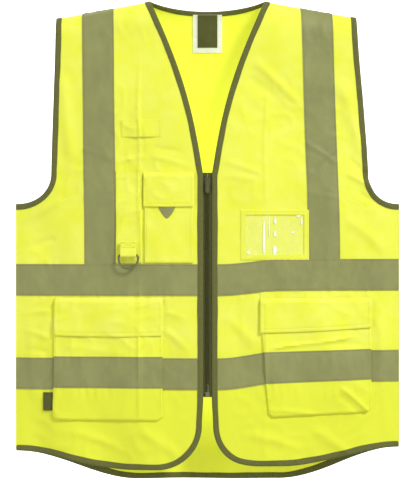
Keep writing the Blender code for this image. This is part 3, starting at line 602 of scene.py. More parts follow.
@dataclass
class Drape:
    """Relief of the hanging cloth above its plain form."""

    half_width: float = 300 * MM
    zip_half: float = 12 * MM
    ring: Pair = (-122.8 * MM, -400 * MM)
    badge: Pair = (104.5 * MM, -367 * MM)
    badge_half: Pair = (50 * MM, 36 * MM)
    tape_rows: Tuple[float, ...] = (-413 * MM, -463 * MM, -562 * MM, -612 * MM)
    front_creases: Tuple[Crease, ...] = in_mm(
        Crease,
        (-107, -60, -106, -700, 2.4, 1.3), (91, -130, 88, -330, 2.2, 1.1),
        (92, -470, 88, -720, 2.6, 0.8), (66, -92, 148, -164, 6, 1.9),
        (60, -120, 112, -158, 7, -1.1), (205, -120, 245, -250, 10, 2.4),
        (214, -268, 292, -316, 4.5, 2.4), (218, -246, 264, -290, 3.5, -1.5),
        (232, -300, 298, -338, 5, -1.6), (215, -340, 285, -395, 8, 1.8),
        (-230, -110, -210, -260, 10, 2.0), (-295, -352, -225, -310, 6, 2.0),
        (-292, -392, -235, -372, 5, -1.2), (-299, -492, -243, -486, 3.5, 1.5),
        (-299, -512, -243, -530, 3.5, 1.6), (-296, -545, -246, -552, 4, -1.2),
        (-70, -512, -24, -552, 4, 2.0), (-66, -486, -30, -500, 4, 1.2),
        (-141, -253, -92, -245, 2.6, 1.4), (-92, -243, -18, -263, 3.2, 1.3),
        (-88, -231, -34, -240, 3.0, -1.0), (16, -250, 88, -272, 3.6, 1.6),
        (18, -275, 82, -282, 4.0, 1.0), (150, -222, 205, -258, 3.0, 1.8),
        (206, -236, 158, -268, 2.6, -1.3), (150, -300, 208, -312, 3.0, 1.0),
        (-200, -232, -145, -250, 2.8, 1.4), (-196, -262, -150, -256, 2.6, -1.0),
        (266, -480, 282, -700, 7, 2.2), (-268, -640, -285, -480, 8, 1.6),
        (-215, -672, -130, -700, 6, 1.6), (-110, -668, -40, -715, 7, 1.5),
        (60, -676, 150, -700, 6, 1.7), (160, -668, 228, -712, 7, 1.8),
        (22, -490, 78, -540, 7, 1.6),
    )
    back_creases: Tuple[Crease, ...] = in_mm(
        Crease,
        (-100, -60, -101, -735, 3.2, 1.0), (101, -60, 100, -735, 3.2, 1.0),
        (-210, -120, -235, -260, 12, 2.4), (210, -120, 235, -260, 12, 2.2),
        (-60, -230, 40, -330, 16, 2.2), (-240, -480, -190, -730, 15, 3.0),
        (240, -480, 205, -730, 15, 3.0), (20, -620, 40, -745, 16, 3.2),
    )

    def __post_init__(self) -> None:
        """Draw the fields for front and back."""
        self.broad = {s: Waves(11 + s.value, 210 * MM) for s in Side}
        self.folds = {s: Waves(23 + s.value, 105 * MM, lean=0.35) for s in Side}
        self.small = {s: Waves(37 + s.value, 46 * MM) for s in Side}
        self.where = {s: Waves(51 + s.value, 150 * MM) for s in Side}
        self.crumple = {s: Waves(83 + s.value, 19 * MM) for s in Side}
        self.gather = {s: Waves(67 + s.value, 15 * MM, lean=0.12) for s in Side}

    def relief(self, x: Array, z: Array, side: Side) -> Array:
        """Height above the plain form.

        Args:
            x: width.
            z: height.
            side: front or back.

        Returns:
            Height at each place, in metres.
        """
        total = 2.3 * MM * self.broad[side].at(x, z)
        low = ease((-z - 100 * MM) / (300 * MM))
        total = total + 2.0 * MM * (0.45 + 0.75 * low) * self.folds[side].at(x, z)
        ridge = 1 - np.abs(self.small[side].at(x, z))
        masked = ease(self.where[side].at(x, z) + 0.55)
        total = total + 1.25 * MM * ridge**2 * masked
        fine = 1 - np.abs(self.crumple[side].at(x, z))
        total = total + 0.36 * MM * fine**2 * (0.25 + 0.75 * ease(self.where[side].at(z, x) + 0.3))
        ruck = np.zeros_like(total)
        for row in self.tape_rows:
            ruck = np.maximum(ruck, np.exp(-(((z - row) / (9 * MM)) ** 2)))
        total = total + 0.45 * MM * ruck * self.gather[side].at(x, z)
        creases = self.front_creases if side is Side.FRONT else self.back_creases
        for crease in creases:
            total = total + 1.5 * crease.at(x, z)
        hem = ease((-z - 640 * MM) / (90 * MM))
        total = total + (2.0 if side is Side.FRONT else 3.5) * MM * hem * self.folds[side].at(
            x * 0.8 + 0.3, z * 0.2
        )
        return total * self.freedom(x, z, side)

    def freedom(self, x: Array, z: Array, side: Side) -> Array:
        """Share of the relief that seams, zip and hardware leave free."""
        free = ease((self.half_width - np.abs(x)) / (45 * MM))
        free = free * ease((-z - 6 * MM) / (60 * MM))
        if side is Side.FRONT:
            free = free * ease((np.abs(x) - self.zip_half) / (45 * MM))
            ring = np.hypot(x - self.ring[0], z - self.ring[1])
            free = free * (0.12 + 0.88 * ease((ring - 22 * MM) / (40 * MM)))
            off_x, off_z = np.abs(x - self.badge[0]), np.abs(z - self.badge[1])
            badge = np.maximum(off_x - self.badge_half[0], off_z - self.badge_half[1])
            free = free * (0.35 + 0.65 * ease(badge / (40 * MM)))
        return free


@dataclass
class Form:
    """The hanging garment as a surface of width and cloth length."""

    half_width: float = 300 * MM
    neck_half: float = 89 * MM
    shoulder_half: float = 235 * MM
    shoulder_top: float = -2 * MM
    shoulder_slope: float = 0.185
    armhole_ends: Tuple[Pair, ...] = (
        (237 * MM, 244 * MM), (233 * MM, 251.5 * MM)
    )
    armhole_bend: float = -272 * MM
    underarm: float = -318 * MM
    side_bottom: float = -705 * MM
    front_hem: float = -733 * MM
    front_hem_flat: float = 120 * MM
    back_hem: float = -751 * MM
    back_hem_flat: float = 110 * MM
    corner: float = 70 * MM
    back_neck_run: float = 31 * MM
    neckline_bow: float = 12.5 * MM
    front_depth: float = 30 * MM
    back_depth: float = 26 * MM
    spread: float = 70 * MM
    spread_rise: float = 200 * MM
    fold: float = 35 * MM
    seam_gap: float = 0.4 * MM
    zip_top: float = -274 * MM
    zip_bottom: float = -619 * MM
    edge_at_zip: float = 6.5 * MM
    edge_at_hem: float = 8.5 * MM
    hem_sway: float = 6 * MM
    drape: Drape = field(default_factory=Drape)

    def shoulder(self, x: Number) -> Array:
        """Height of the shoulder line."""
        return self.shoulder_top - self.shoulder_slope * np.maximum(
            0.0, np.abs(x) - self.neck_half
        )

    def run_at(self, x: Number, z: Number) -> Array:
        """Cloth length from the shoulder line down to a height."""
        drop = np.maximum(0.0, self.shoulder(x) - z)
        turned = self.fold * np.arccos(1 - np.minimum(drop, self.fold) / self.fold)
        return np.where(drop < self.fold, turned, self.fold * (math.pi / 2 - 1) + drop)

    def base(self, x: Number, run: Number, side: Side) -> Array:
        """Point of the plain form.

        Args:
            x: width.
            run: cloth length below the shoulder line.
            side: front or back.

        Returns:
            Points, with the coordinates on the last axis.
        """
        x, run = np.broadcast_arrays(np.asarray(x, float), np.asarray(run, float))
        turn = np.minimum(np.maximum(run, 0.0) / self.fold, math.pi / 2)
        over = run - self.fold * turn
        z = self.shoulder(x) - self.fold * (1 - np.cos(turn)) - over
        half = self.half_width + self.spread * ease((z - self.underarm) / self.spread_rise)
        depth = self.front_depth if side is Side.FRONT else self.back_depth
        gap = self.seam_gap / 2 * np.minimum(1.0, run / (6 * MM))
        y = gap + depth * (1 - (x / half) ** 2) * np.sin(turn)
        return np.stack([x, side.value * y, z], -1)

    def outward(self, x: Number, run: Number, side: Side) -> Array:
        """Unit normal of the plain form, away from the wearer."""
        step = 0.02 * MM
        run = np.maximum(run, step)
        across = self.base(x + step, run, side) - self.base(x - step, run, side)
        down = self.base(x, run + step, side) - self.base(x, run - step, side)
        return unit(np.cross(across, down) * side.value)

    def place(self, x: Number, run: Number, side: Side, lift: Number = 0.0) -> Array:
        """Point of the draped cloth at a lift above its inner face.

        Args:
            x: width.
            run: cloth length below the shoulder line.
            side: front or back.
            lift: distance outwards.

        Returns:
            Points, with the coordinates on the last axis.
        """
        x, run = np.broadcast_arrays(np.asarray(x, float), np.asarray(run, float))
        point = self.base(x, run, side)
        rise = np.asarray(lift) + self.drape.relief(x, point[..., 2], side)
        return point + self.outward(x, run, side) * rise[..., None]

    def place_z(self, x: Number, z: Number, side: Side, lift: Number = 0.0) -> Array:
        """Same as place, by width and height."""
        x, z = np.broadcast_arrays(np.asarray(x, float), np.asarray(z, float))
        return self.place(x, self.run_at(x, z), side, lift)

    def round_shoulder(self, x: Number, run: Number, lift: Number = 0.0) -> Array:
        """Place by a cloth length that is positive on the front and negative on the back."""
        x, run, lift = np.broadcast_arrays(x, run, lift)
        front = self.place(x, np.maximum(run, 0.0), Side.FRONT, lift)
        back = self.place(x, np.maximum(-run, 0.0), Side.BACK, lift)
        return np.where((run >= 0)[..., None], front, back)

    # outline curves, as arrays of (x, run)
    def armhole(self, sign: int) -> Array:
        """Armhole edge from the shoulder seam to the underarm.

        Args:
            sign: -1 for the wearer's right, 1 for the left.

        Returns:
            Pairs of width and run, with the width always positive.
        """
        top = float(self.shoulder(self.shoulder_half))
        bend = self.armhole_bend
        turn = np.linspace(0, math.pi / 2, 22)
        fold = top - self.fold * (1 - np.cos(turn))
        z = np.concatenate([fold, np.linspace(top - self.fold, bend, 52)[1:]])
        t = (z - top) / (bend - top)
        start, waist = self.armhole_ends[sign > 0]
        x = start + (waist - start) * (0.55 * t + 0.45 * ease(t))
        angle = np.linspace(0, math.pi / 2, 18)[1:]
        x2 = waist + (self.half_width - waist) * (1 - np.cos(angle) ** 0.9)
        z2 = bend + (self.underarm - bend) * np.sin(angle)
        x, z = np.concatenate([x, x2]), np.concatenate([z, z2])
        run = self.run_at(x, z)
        run[0] = 0.0
        return np.stack([x, run], -1)

    def front_edge_x(self, z: Array) -> Array:
        """Half width of the neckline and of the front edge below it."""
        t = np.clip((z - self.shoulder_top) / (self.zip_top - self.shoulder_top), 0, 1)
        neck = self.neck_half + (self.edge_at_zip - self.neck_half) * t
        neck = neck - self.neckline_bow * np.sin(math.pi * t)
        low = ease((self.zip_bottom - z) / (self.zip_bottom - self.front_hem - self.corner))
        edge = self.edge_at_zip + (self.edge_at_hem - self.edge_at_zip) * low
        return np.where(z > self.zip_top, neck, edge)

    def hem_z(self, x: Array, level: float, flat: float) -> Array:
        """Height of a hem that rises towards the side seam."""
        return level + (self.side_bottom - level) * ease(
            (np.abs(x) - flat) / (self.half_width - flat)
        )

    def front_edge(self) -> Array:
        """Front edge from the shoulder seam down to the rounded corner."""
        turn = np.linspace(0, math.pi / 2, 18)
        z = self.shoulder_top - self.fold * (1 - np.cos(turn))
        low = self.front_hem + self.corner
        z = np.concatenate([z, np.linspace(z[-1], low, 158)[1:]])
        x = self.front_edge_x(z)
        run = self.run_at(x, z)
        run[0] = 0.0
        return np.stack([x, run], -1)

    def front_hem_path(self, sign: int) -> Array:
        """Front hem from the rounded corner to the side seam, a little higher on the left."""
        angle = np.linspace(0, math.pi / 2, 26)
        x = self.edge_at_hem + self.corner * (1 - np.cos(angle))
        z = self.front_hem + self.corner * (1 - np.sin(angle))
        x2 = np.linspace(x[-1], self.half_width, 56)[1:]
        z2 = self.hem_z(x2, self.front_hem, self.front_hem_flat)
        x, z = np.concatenate([x, x2]), np.concatenate([z, z2])
        if sign > 0:
            z = z + self.hem_sway * ease((x - 14 * MM) / (60 * MM))
        return np.stack([x, self.run_at(x, z)], -1)

    def back_neck(self, grow: float = 0.0) -> Array:
        """Back neck edge from one shoulder seam to the other."""
        angle = np.linspace(0, math.pi, 64)
        x = -(self.neck_half + grow) * np.cos(angle)
        return np.stack([x, (self.back_neck_run + grow) * np.sin(angle)], -1)

    def back_hem_path(self, raise_by: float = 0.0) -> Array:
        """Back hem from side seam to side seam."""
        x = np.linspace(-self.half_width, self.half_width, 150)
        z = self.hem_z(x, self.back_hem, self.back_hem_flat) + raise_by
        z = z + self.hem_sway * ease((x - 130 * MM) / (170 * MM))
        return np.stack([x, self.run_at(x, z)], -1)


def inward(path: Array) -> Array:
    """Unit steps to the right hand of a path of pairs."""
    step = unit(np.gradient(path, axis=0))
    return np.stack([step[:, 1], -step[:, 0]], -1)


def travelled(path: Array) -> Array:
    """Distance along a path up to each of its points."""
    return np.concatenate([[0], np.cumsum(np.linalg.norm(np.diff(path, axis=0), axis=1))])


def even(path: Array, count: int) -> Array:
    """Path again with evenly spaced points."""
    along = travelled(path)
    want = np.linspace(0, along[-1], count)
    return np.stack([np.interp(want, along, path[:, i]) for i in range(path.shape[1])], -1)


# --- mesh making
def mesh_object(name: str, points: Array, faces: Sequence[Sequence[int]]) -> Piece:
    """Make a smooth shaded object with crisp edges.

    Args:
        name: object name.
        points: vertices.
        faces: vertex indices of each face.

    Returns:
        The linked object.
    """
    mesh = bpy.data.meshes.new(name)
    mesh.from_pydata(points.reshape(-1, 3).tolist(), [], faces)
    mesh.update()
    mesh.polygons.foreach_set("use_smooth", [True] * len(mesh.polygons))
    mesh.set_sharp_from_angle(angle=math.radians(48))
    obj = bpy.data.objects.new(name, mesh)
    bpy.context.scene.collection.objects.link(obj)
    return obj


def grid_faces(rows: int, cols: int, start: int = 0, flip: bool = False) -> List[List[int]]:
    """Quads of a grid of points."""
    index = start + np.arange(rows * cols).reshape(rows, cols)
    quads = np.stack([index[:-1, :-1], index[:-1, 1:], index[1:, 1:], index[1:, :-1]], -1)
    quads = quads.reshape(-1, 4)
    return (quads[:, ::-1] if flip else quads).tolist()


def slab(name: str, inner: Array, outer: Array) -> Piece:
    """Closed sheet between an inner and an outer grid of points.

    Args:
        name: object name.
        inner: grid of points of the inner face.
        outer: matching grid of the outer face.

    Returns:
        The object.
    """
    rows, cols = inner.shape[:2]
    count = rows * cols
    r, c = rows // 2, cols // 2
    normal = np.cross(outer[r, c] - outer[r, c - 1], outer[r, c] - outer[r - 1, c])
    flip = float(normal @ (outer[r, c] - inner[r, c])) < 0
    faces = grid_faces(rows, cols, count, flip) + grid_faces(rows, cols, 0, not flip)
    index = np.arange(count).reshape(rows, cols)
    rim = np.concatenate([index[0], index[1:, -1], index[-1, -2::-1], index[-2:0:-1, 0]])
    after = np.roll(rim, -1)
    walls = np.stack([rim, after, after + count, rim + count], -1)
    faces += (walls[:, ::-1] if not flip else walls).tolist()
    return mesh_object(name, np.concatenate([inner.reshape(-1, 3), outer.reshape(-1, 3)]), faces)


def sweep(name: str, rings: Array, closed: bool = False) -> Piece:
    """Tube through rings of points, with flat ends unless it is closed on itself.

    Args:
        name: object name.
        rings: array of stations by ring points by coordinates.
        closed: True joins the last ring to the first.

    Returns:
        The object.
    """
    count, around = rings.shape[:2]
    index = np.arange(count * around).reshape(count, around)
    after = np.roll(index, -1, axis=1)
    last = count if closed else count - 1
    nxt = np.roll(index, -1, axis=0)
    nxt_after = np.roll(after, -1, axis=0)
    quads = np.stack([index, after, nxt_after, nxt], -1)[:last].reshape(-1, 4)
    centre = rings[0].mean(0)
    ring = rings[0] - centre
    area = sum(np.cross(ring[i], ring[(i + 1) % around]) for i in range(around))
    flip = float(area @ (rings[1].mean(0) - centre)) < 0
    faces = (quads if flip else quads[:, ::-1]).tolist()
    if not closed:
        first, end = index[0].tolist(), index[-1].tolist()
        faces += [first, end[::-1]]
    return mesh_object(name, rings, faces)


def tidy_normals(obj: Piece) -> Piece:
    """Turn every face of a closed piece outwards."""
    work = bmesh.new()
    work.from_mesh(obj.data)
    bmesh.ops.recalc_face_normals(work, faces=work.faces)
    work.to_mesh(obj.data)
    work.free()
    return obj


def prisms(name: str, rings: Array) -> Piece:
    """Many separate closed prisms as one object.

    Args:
        name: object name.
        rings: array of prisms by stations by ring points by coordinates.

    Returns:
        The object.
    """
    index = np.arange(rings[..., 0].size).reshape(rings.shape[:3])
    after = np.roll(index, -1, axis=2)
    quads = np.stack([index[:, :-1], after[:, :-1], after[:, 1:], index[:, 1:]], -1)
    caps = np.concatenate([index[:, 0, ::-1], index[:, -1]])
    faces = quads.reshape(-1, 4).tolist() + caps.tolist()
    return tidy_normals(mesh_object(name, rings, faces))


def front_slab(
    form: Form, name: str, x: Array, z: Array, low: Array, thick: Number
) -> Piece:
    """Closed sheet on the front, from one lift to a thickness above it."""
    place = form.place_z
    return slab(name, place(x, z, Side.FRONT, low), place(x, z, Side.FRONT, low + thick))


@dataclass
class Stitches:
    """Rows of sewing stitches gathered into one piece."""

    pitch: float = 3.1 * MM
    length: float = 2.3 * MM
    width: float = 0.42 * MM
    height: float = 0.34 * MM
    parts: List[Array] = field(default_factory=list)

    def row(self, points: Array, normals: Array) -> None:
        """Sew along a line.

        Args:
            points: line on the cloth's face.
            normals: outward direction at each point.
        """
        along = travelled(points)
        count = int(along[-1] / self.pitch)
        if count < 1:
            return
        starts = (np.arange(count) + 0.1) * (along[-1] / count)
        at = starts[:, None] + np.array([0.0, 0.25, 0.75, 1.0]) * self.length
        at = np.minimum(at, along[-1])
        p = np.stack([np.interp(at, along, points[:, i]) for i in range(3)], -1)
        n = np.stack([np.interp(at, along, normals[:, i]) for i in range(3)], -1)
        n = unit(n)
        side = unit(np.cross(p[:, -1:] - p[:, :1], n))
        wide = np.array([0.35, 1.0, 1.0, 0.35])[None, :, None] * self.width / 2
        high = np.array([0.1, 1.0, 1.0, 0.1])[None, :, None] * self.height
        corners = [
            p + side * wide - n * 0.25 * high,
            p + side * wide * 0.7 + n * high * 0.8,
            p - side * wide * 0.7 + n * high * 0.8,
            p - side * wide - n * 0.25 * high,
        ]
        self.parts.append(np.stack(corners, 2))

    def over(self, place: Callable[[float], Array]) -> None:
        """Sew along a line that is placed at any rise above the cloth's face."""
        face = place(0.0)
        self.row(face, place(1 * MM) - face)

    def make(self, name: str) -> Piece:
        """Return every stitch as one object."""
        return prisms(name, np.concatenate(self.parts))


# --- sub-assemblies
@dataclass
class Assembly:
    """Shared tools of the sub-assemblies."""

    form: Form

    def fit(
        self,
        obj: Piece,
        finish: Finish,
        slot: str,
        rider: Rider = Rider.VEST,
        stands_for: Sequence[str] = (),
        flat: Optional[Pair] = None,
        area: Optional[float] = None,
        held: str = "hung",
        rests_on: Sequence[str] = (),
        root: Optional[float] = None,
    ) -> Piece:
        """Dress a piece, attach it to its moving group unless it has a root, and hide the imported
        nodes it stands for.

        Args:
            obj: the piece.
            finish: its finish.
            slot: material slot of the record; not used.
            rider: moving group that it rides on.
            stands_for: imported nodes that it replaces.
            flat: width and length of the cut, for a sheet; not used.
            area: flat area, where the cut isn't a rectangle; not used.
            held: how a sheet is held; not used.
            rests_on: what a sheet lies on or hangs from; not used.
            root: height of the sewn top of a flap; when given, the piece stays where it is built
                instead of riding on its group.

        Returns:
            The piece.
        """
        finish.dress(obj)
        if root is None:
            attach(obj, rider.value)
        else:
            root - FLAP_BEND
            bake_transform(obj)
        if stands_for:
            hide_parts(*stands_for)
        log.info("%s: %d faces, rides on %s", obj.name, len(obj.data.polygons), rider.value)
        return obj

    def fit_tape(self, obj: Piece, node: str, flat: Pair, under: str) -> None:
        """Fit a reflective tape that is sewn flat to what lies under it."""
        self.fit(
            obj, TAPE, REFLECTIVE, stands_for=[node], flat=flat, held="stretched",
            rests_on=[under],
        )

    def seam(
        self, stitches: Stitches, x: Array, z: Array, side: Side, lift: Number
    ) -> None:
        """Sew along a line of width and height at a lift."""
        run = self.form.run_at(x, z)
        stitches.row(self.form.place(x, run, side, lift), self.form.outward(x, run, side))


@dataclass
class Panels(Assembly):
    """Back and front panels of fluorescent knit."""

    margin: float = 3 * MM
    columns: int = 84
    fold_rows: int = 13
    join_rows: int = 12
    body_rows: int = 150
    hem_rows: int = 20

    def heights(self, top: float, bottom: float) -> Array:
        """Heights of the rows along one border below the shoulder fold."""
        level, last = -110 * MM, -612 * MM
        return np.concatenate(
            [
                np.linspace(top, level, self.join_rows + 1)[1:],
                np.linspace(level, last, self.body_rows + 1)[1:],
                np.linspace(last, bottom, self.hem_rows + 1)[1:],
            ]
        )

    def fold_runs(self) -> Array:
        """Cloth lengths of the rows over the shoulder."""
        return np.linspace(0, self.form.fold * math.pi / 2, self.fold_rows)

    def border(self, x_of: Callable[[Array], Array], x_top: float, bottom: float) -> Array:
        """Border path with a row at each fold run and height.

        Args:
            x_of: half width by height.
            x_top: half width at the shoulder.
            bottom: lowest height.

        Returns:
            Pairs of width and run.
        """
        form, runs = self.form, self.fold_runs()
        top = float(form.shoulder(x_top))
        over = top - form.fold * (1 - np.cos(runs / form.fold))
        z = np.concatenate([over, self.heights(top - form.fold, bottom)])
        x = x_of(z)
        run = form.run_at(x, z)
        run[: self.fold_rows] = runs
        return np.stack([x, run], -1)

    def armhole_x(self, z: Array, sign: int) -> Array:
        """Half width of the armhole and side border."""
        form = self.form
        path = form.armhole(sign)
        heights = form.base(path[:, 0], path[:, 1], Side.FRONT)[:, 2]
        x = np.interp(-z, -heights, path[:, 0])
        inset = np.where(z > form.underarm, self.margin, 0.0)
        return np.where(z < form.underarm, form.half_width, x - inset)

    @staticmethod
    def fill(top: Array, bottom: Array, first: Array, last: Array) -> Array:
        """Grid of pairs inside four border paths."""
        v = np.linspace(0, 1, len(first))[:, None, None]
        u = np.linspace(0, 1, len(top))[None, :, None]
        high = top[0] + (top[-1] - top[0]) * u[0]
        low = bottom[0] + (bottom[-1] - bottom[0]) * u[0]
        across = first[:, None] + (last - first)[:, None] * u
        return across + (top - high)[None] * (1 - v) ** 3 + (bottom - low)[None] * v**3

    def side_end(self, sign: int) -> float:
        """Height at which the side border meets the hem."""
        return self.form.side_bottom + self.margin + (self.form.hem_sway if sign > 0 else 0.0)

    def front(self, name: str, sign: int) -> Piece:
        """Build one half of the front."""
        form = self.form
        low = form.front_hem + form.corner
        first = self.border(lambda z: form.front_edge_x(z) + self.margin, form.neck_half, low)
        hem = form.front_hem_path(sign)
        bottom = even(hem + inward(hem) * self.margin, self.columns + 1)
        bottom[0], bottom[-1, 0] = first[-1], form.half_width
        last = self.border(
            lambda z: self.armhole_x(z, sign), form.shoulder_half, self.side_end(sign)
        )
        last[-1] = bottom[-1]
        top = np.linspace(first[0], last[0], self.columns + 1)
        grid = self.fill(top, bottom, first, last)
        x, run = sign * grid[..., 0], np.maximum(grid[..., 1], 0)
        return slab(name, *(form.place(x, run, Side.FRONT, lift) for lift in (0.0, CLOTH)))

    def back(self) -> Piece:
        """Build the back."""
        form = self.form
        left, right = (
            self.border(
                lambda z, sign=sign: self.armhole_x(z, sign),
                form.shoulder_half,
                self.side_end(sign),
            )
            * (sign, 1)
            for sign in (-1, 1)
        )
        neck = form.back_neck(self.margin)
        top = np.concatenate(
            [np.linspace(left[0], neck[0], 22)[:-1], neck, np.linspace(neck[-1], right[0], 22)[1:]]
        )
        top = even(top, 2 * self.columns + 1)
        bottom = even(form.back_hem_path(self.margin), 2 * self.columns + 1)
        grid = self.fill(top, bottom, left, right)
        x, run = grid[..., 0], np.maximum(grid[..., 1], 0)
        return slab(
            "back_cloth", *(form.place(x, run, Side.BACK, lift) for lift in (0.0, CLOTH))
        )

    def side_seam(self, name: str, sign: int) -> Piece:
        """Build the turned seam that closes one side."""
        form = self.form
        z = np.linspace(form.underarm - 3 * MM, self.side_end(sign), 120)
        x = np.full_like(z, sign * form.half_width)
        front, back = (form.place_z(x, z, side, CLOTH / 2) for side in (Side.FRONT, Side.BACK))
        half = (back - front)[:, 1] / 2 + 0.9 * MM
        turn = turns(12)
        offset = np.zeros((len(z), len(turn), 3))
        offset[..., 0] = 0.6 * MM * np.cos(turn)
        offset[..., 1] = half[:, None] * np.sin(turn)
        return tidy_normals(sweep(name, (front + back)[:, None] / 2 + offset))

    def build(self) -> None:
        """Build all three panels and close the sides."""
        self.fit(
            self.back(), BACK_YELLOW_WITH_PAINTED_GLOW, FABRIC, stands_for=["back_panel"],
            flat=(0.61, 0.76), area=0.395, rests_on=["hanger_rest"],
        )
        for name, sign in HALVES:
            self.fit(
                self.front(f"{name}_front_cloth", sign), YELLOW, FABRIC,
                stands_for=[f"{name}_front_panel"], flat=(0.30, 0.76), area=0.178,
                rests_on=["hanger_rest"],
            )
            self.fit(self.side_seam(f"{name}_side_seam", sign), YELLOW, FABRIC)


@dataclass
class Bindings(Assembly):
    """Folded tape round every cut edge."""

    width: float = 9.2 * MM
    row: float = 7.6 * MM
    sewn_lift: float = 1.52 * MM
    profile: Tuple[Pair, ...] = (
        (9.2, 0.85), (9.1, 1.40), (8.3, 1.72), (7.6, 1.50), (6.9, 1.70), (4.8, 1.92),
        (2.5, 1.90), (0.9, 1.50), (0.1, 0.60), (0.3, -0.30), (1.6, -0.82), (4.6, -0.95),
        (8.0, -0.85), (9.2, -0.40),
    )

    def strip(
        self, name: str, path: Array, place: Callable[[Array, Array, Array], Array], hand: float
    ) -> Piece:
        """Sweep the folded tape along an edge.

        Args:
            name: object name.
            path: edge as pairs of width and run.
            place: maps width, run and lift to points.
            hand: 1 where the cloth is on the right hand of the path, else -1.

        Returns:
            The object.
        """
        side = inward(path) * hand
        along = travelled(path)
        section = np.array(self.profile) * MM
        wobble = 0.25 * MM * np.sin(along / (19 * MM)) + 0.15 * MM * np.sin(along / (7.3 * MM))
        pucker = 0.10 * MM * np.sin(along * (2 * math.pi / (6.2 * MM)))
        inside = section[:, 0] + wobble[:, None] * (section[:, 0] / self.width)
        lift = section[:, 1] + pucker[:, None] * (section[:, 1] > 1 * MM)
        x = path[:, :1] + side[:, :1] * inside
        run = path[:, 1:] + side[:, 1:] * inside
        return tidy_normals(sweep(name, place(x, run, lift)))

    def stitch(self, name: str, path: Array, place: Callable, hand: float) -> None:
        """Sew the tape close to its inner edge."""
        side = inward(path) * hand
        line = path + side * self.row
        lift = np.full(len(line), self.sewn_lift)
        stitches = Stitches()
        stitches.over(lambda rise: place(line[:, 0], line[:, 1], lift + rise))
        self.fit(stitches.make(name), OLIVE_THREAD, TRIM)

    def bind(
        self, name: str, node: str, path: Array, place: Callable, hand: float = 1.0
    ) -> None:
        """Build the tape along one edge and its stitching."""
        self.fit(self.strip(f"{name}_tape", path, place, hand), OLIVE, TRIM, stands_for=[node])
        self.stitch(f"{name}_stitching", path, place, hand)

    def build(self) -> None:
        """Bind the fronts, armholes, back neck and back hem."""
        form = self.form
        for name, sign in HALVES:
            edge = np.concatenate([form.front_edge(), form.front_hem_path(sign)[1:]])
            armhole = form.armhole(sign)
            loop = np.concatenate([armhole[::-1], armhole[1:] * (1, -1)])

            def front(x: Array, run: Array, lift: Array, sign: int = sign) -> Array:
                """Place on the front half."""
                return form.place(
                    sign * np.clip(x, 0, form.half_width), np.maximum(run, 0), Side.FRONT, lift
                )

            def over(x: Array, run: Array, lift: Array, sign: int = sign) -> Array:
                """Place round the armhole."""
                return form.round_shoulder(sign * np.minimum(x, form.half_width), run, lift)

            self.bind(f"{name}_front_edge", f"{name}_front_binding", edge, front)
            self.bind(f"{name}_armhole", f"{name}_armhole_binding", loop, over)

        def back(x: Array, run: Array, lift: Array) -> Array:
            """Place on the back."""
            return form.place(
                np.clip(x, -form.half_width, form.half_width), np.maximum(run, 0), Side.BACK, lift
            )

        self.bind("back_neck", "back_neck_binding", form.back_neck(), back, -1.0)
        self.bind("back_hem", "back_hem_binding", form.back_hem_path(), back)


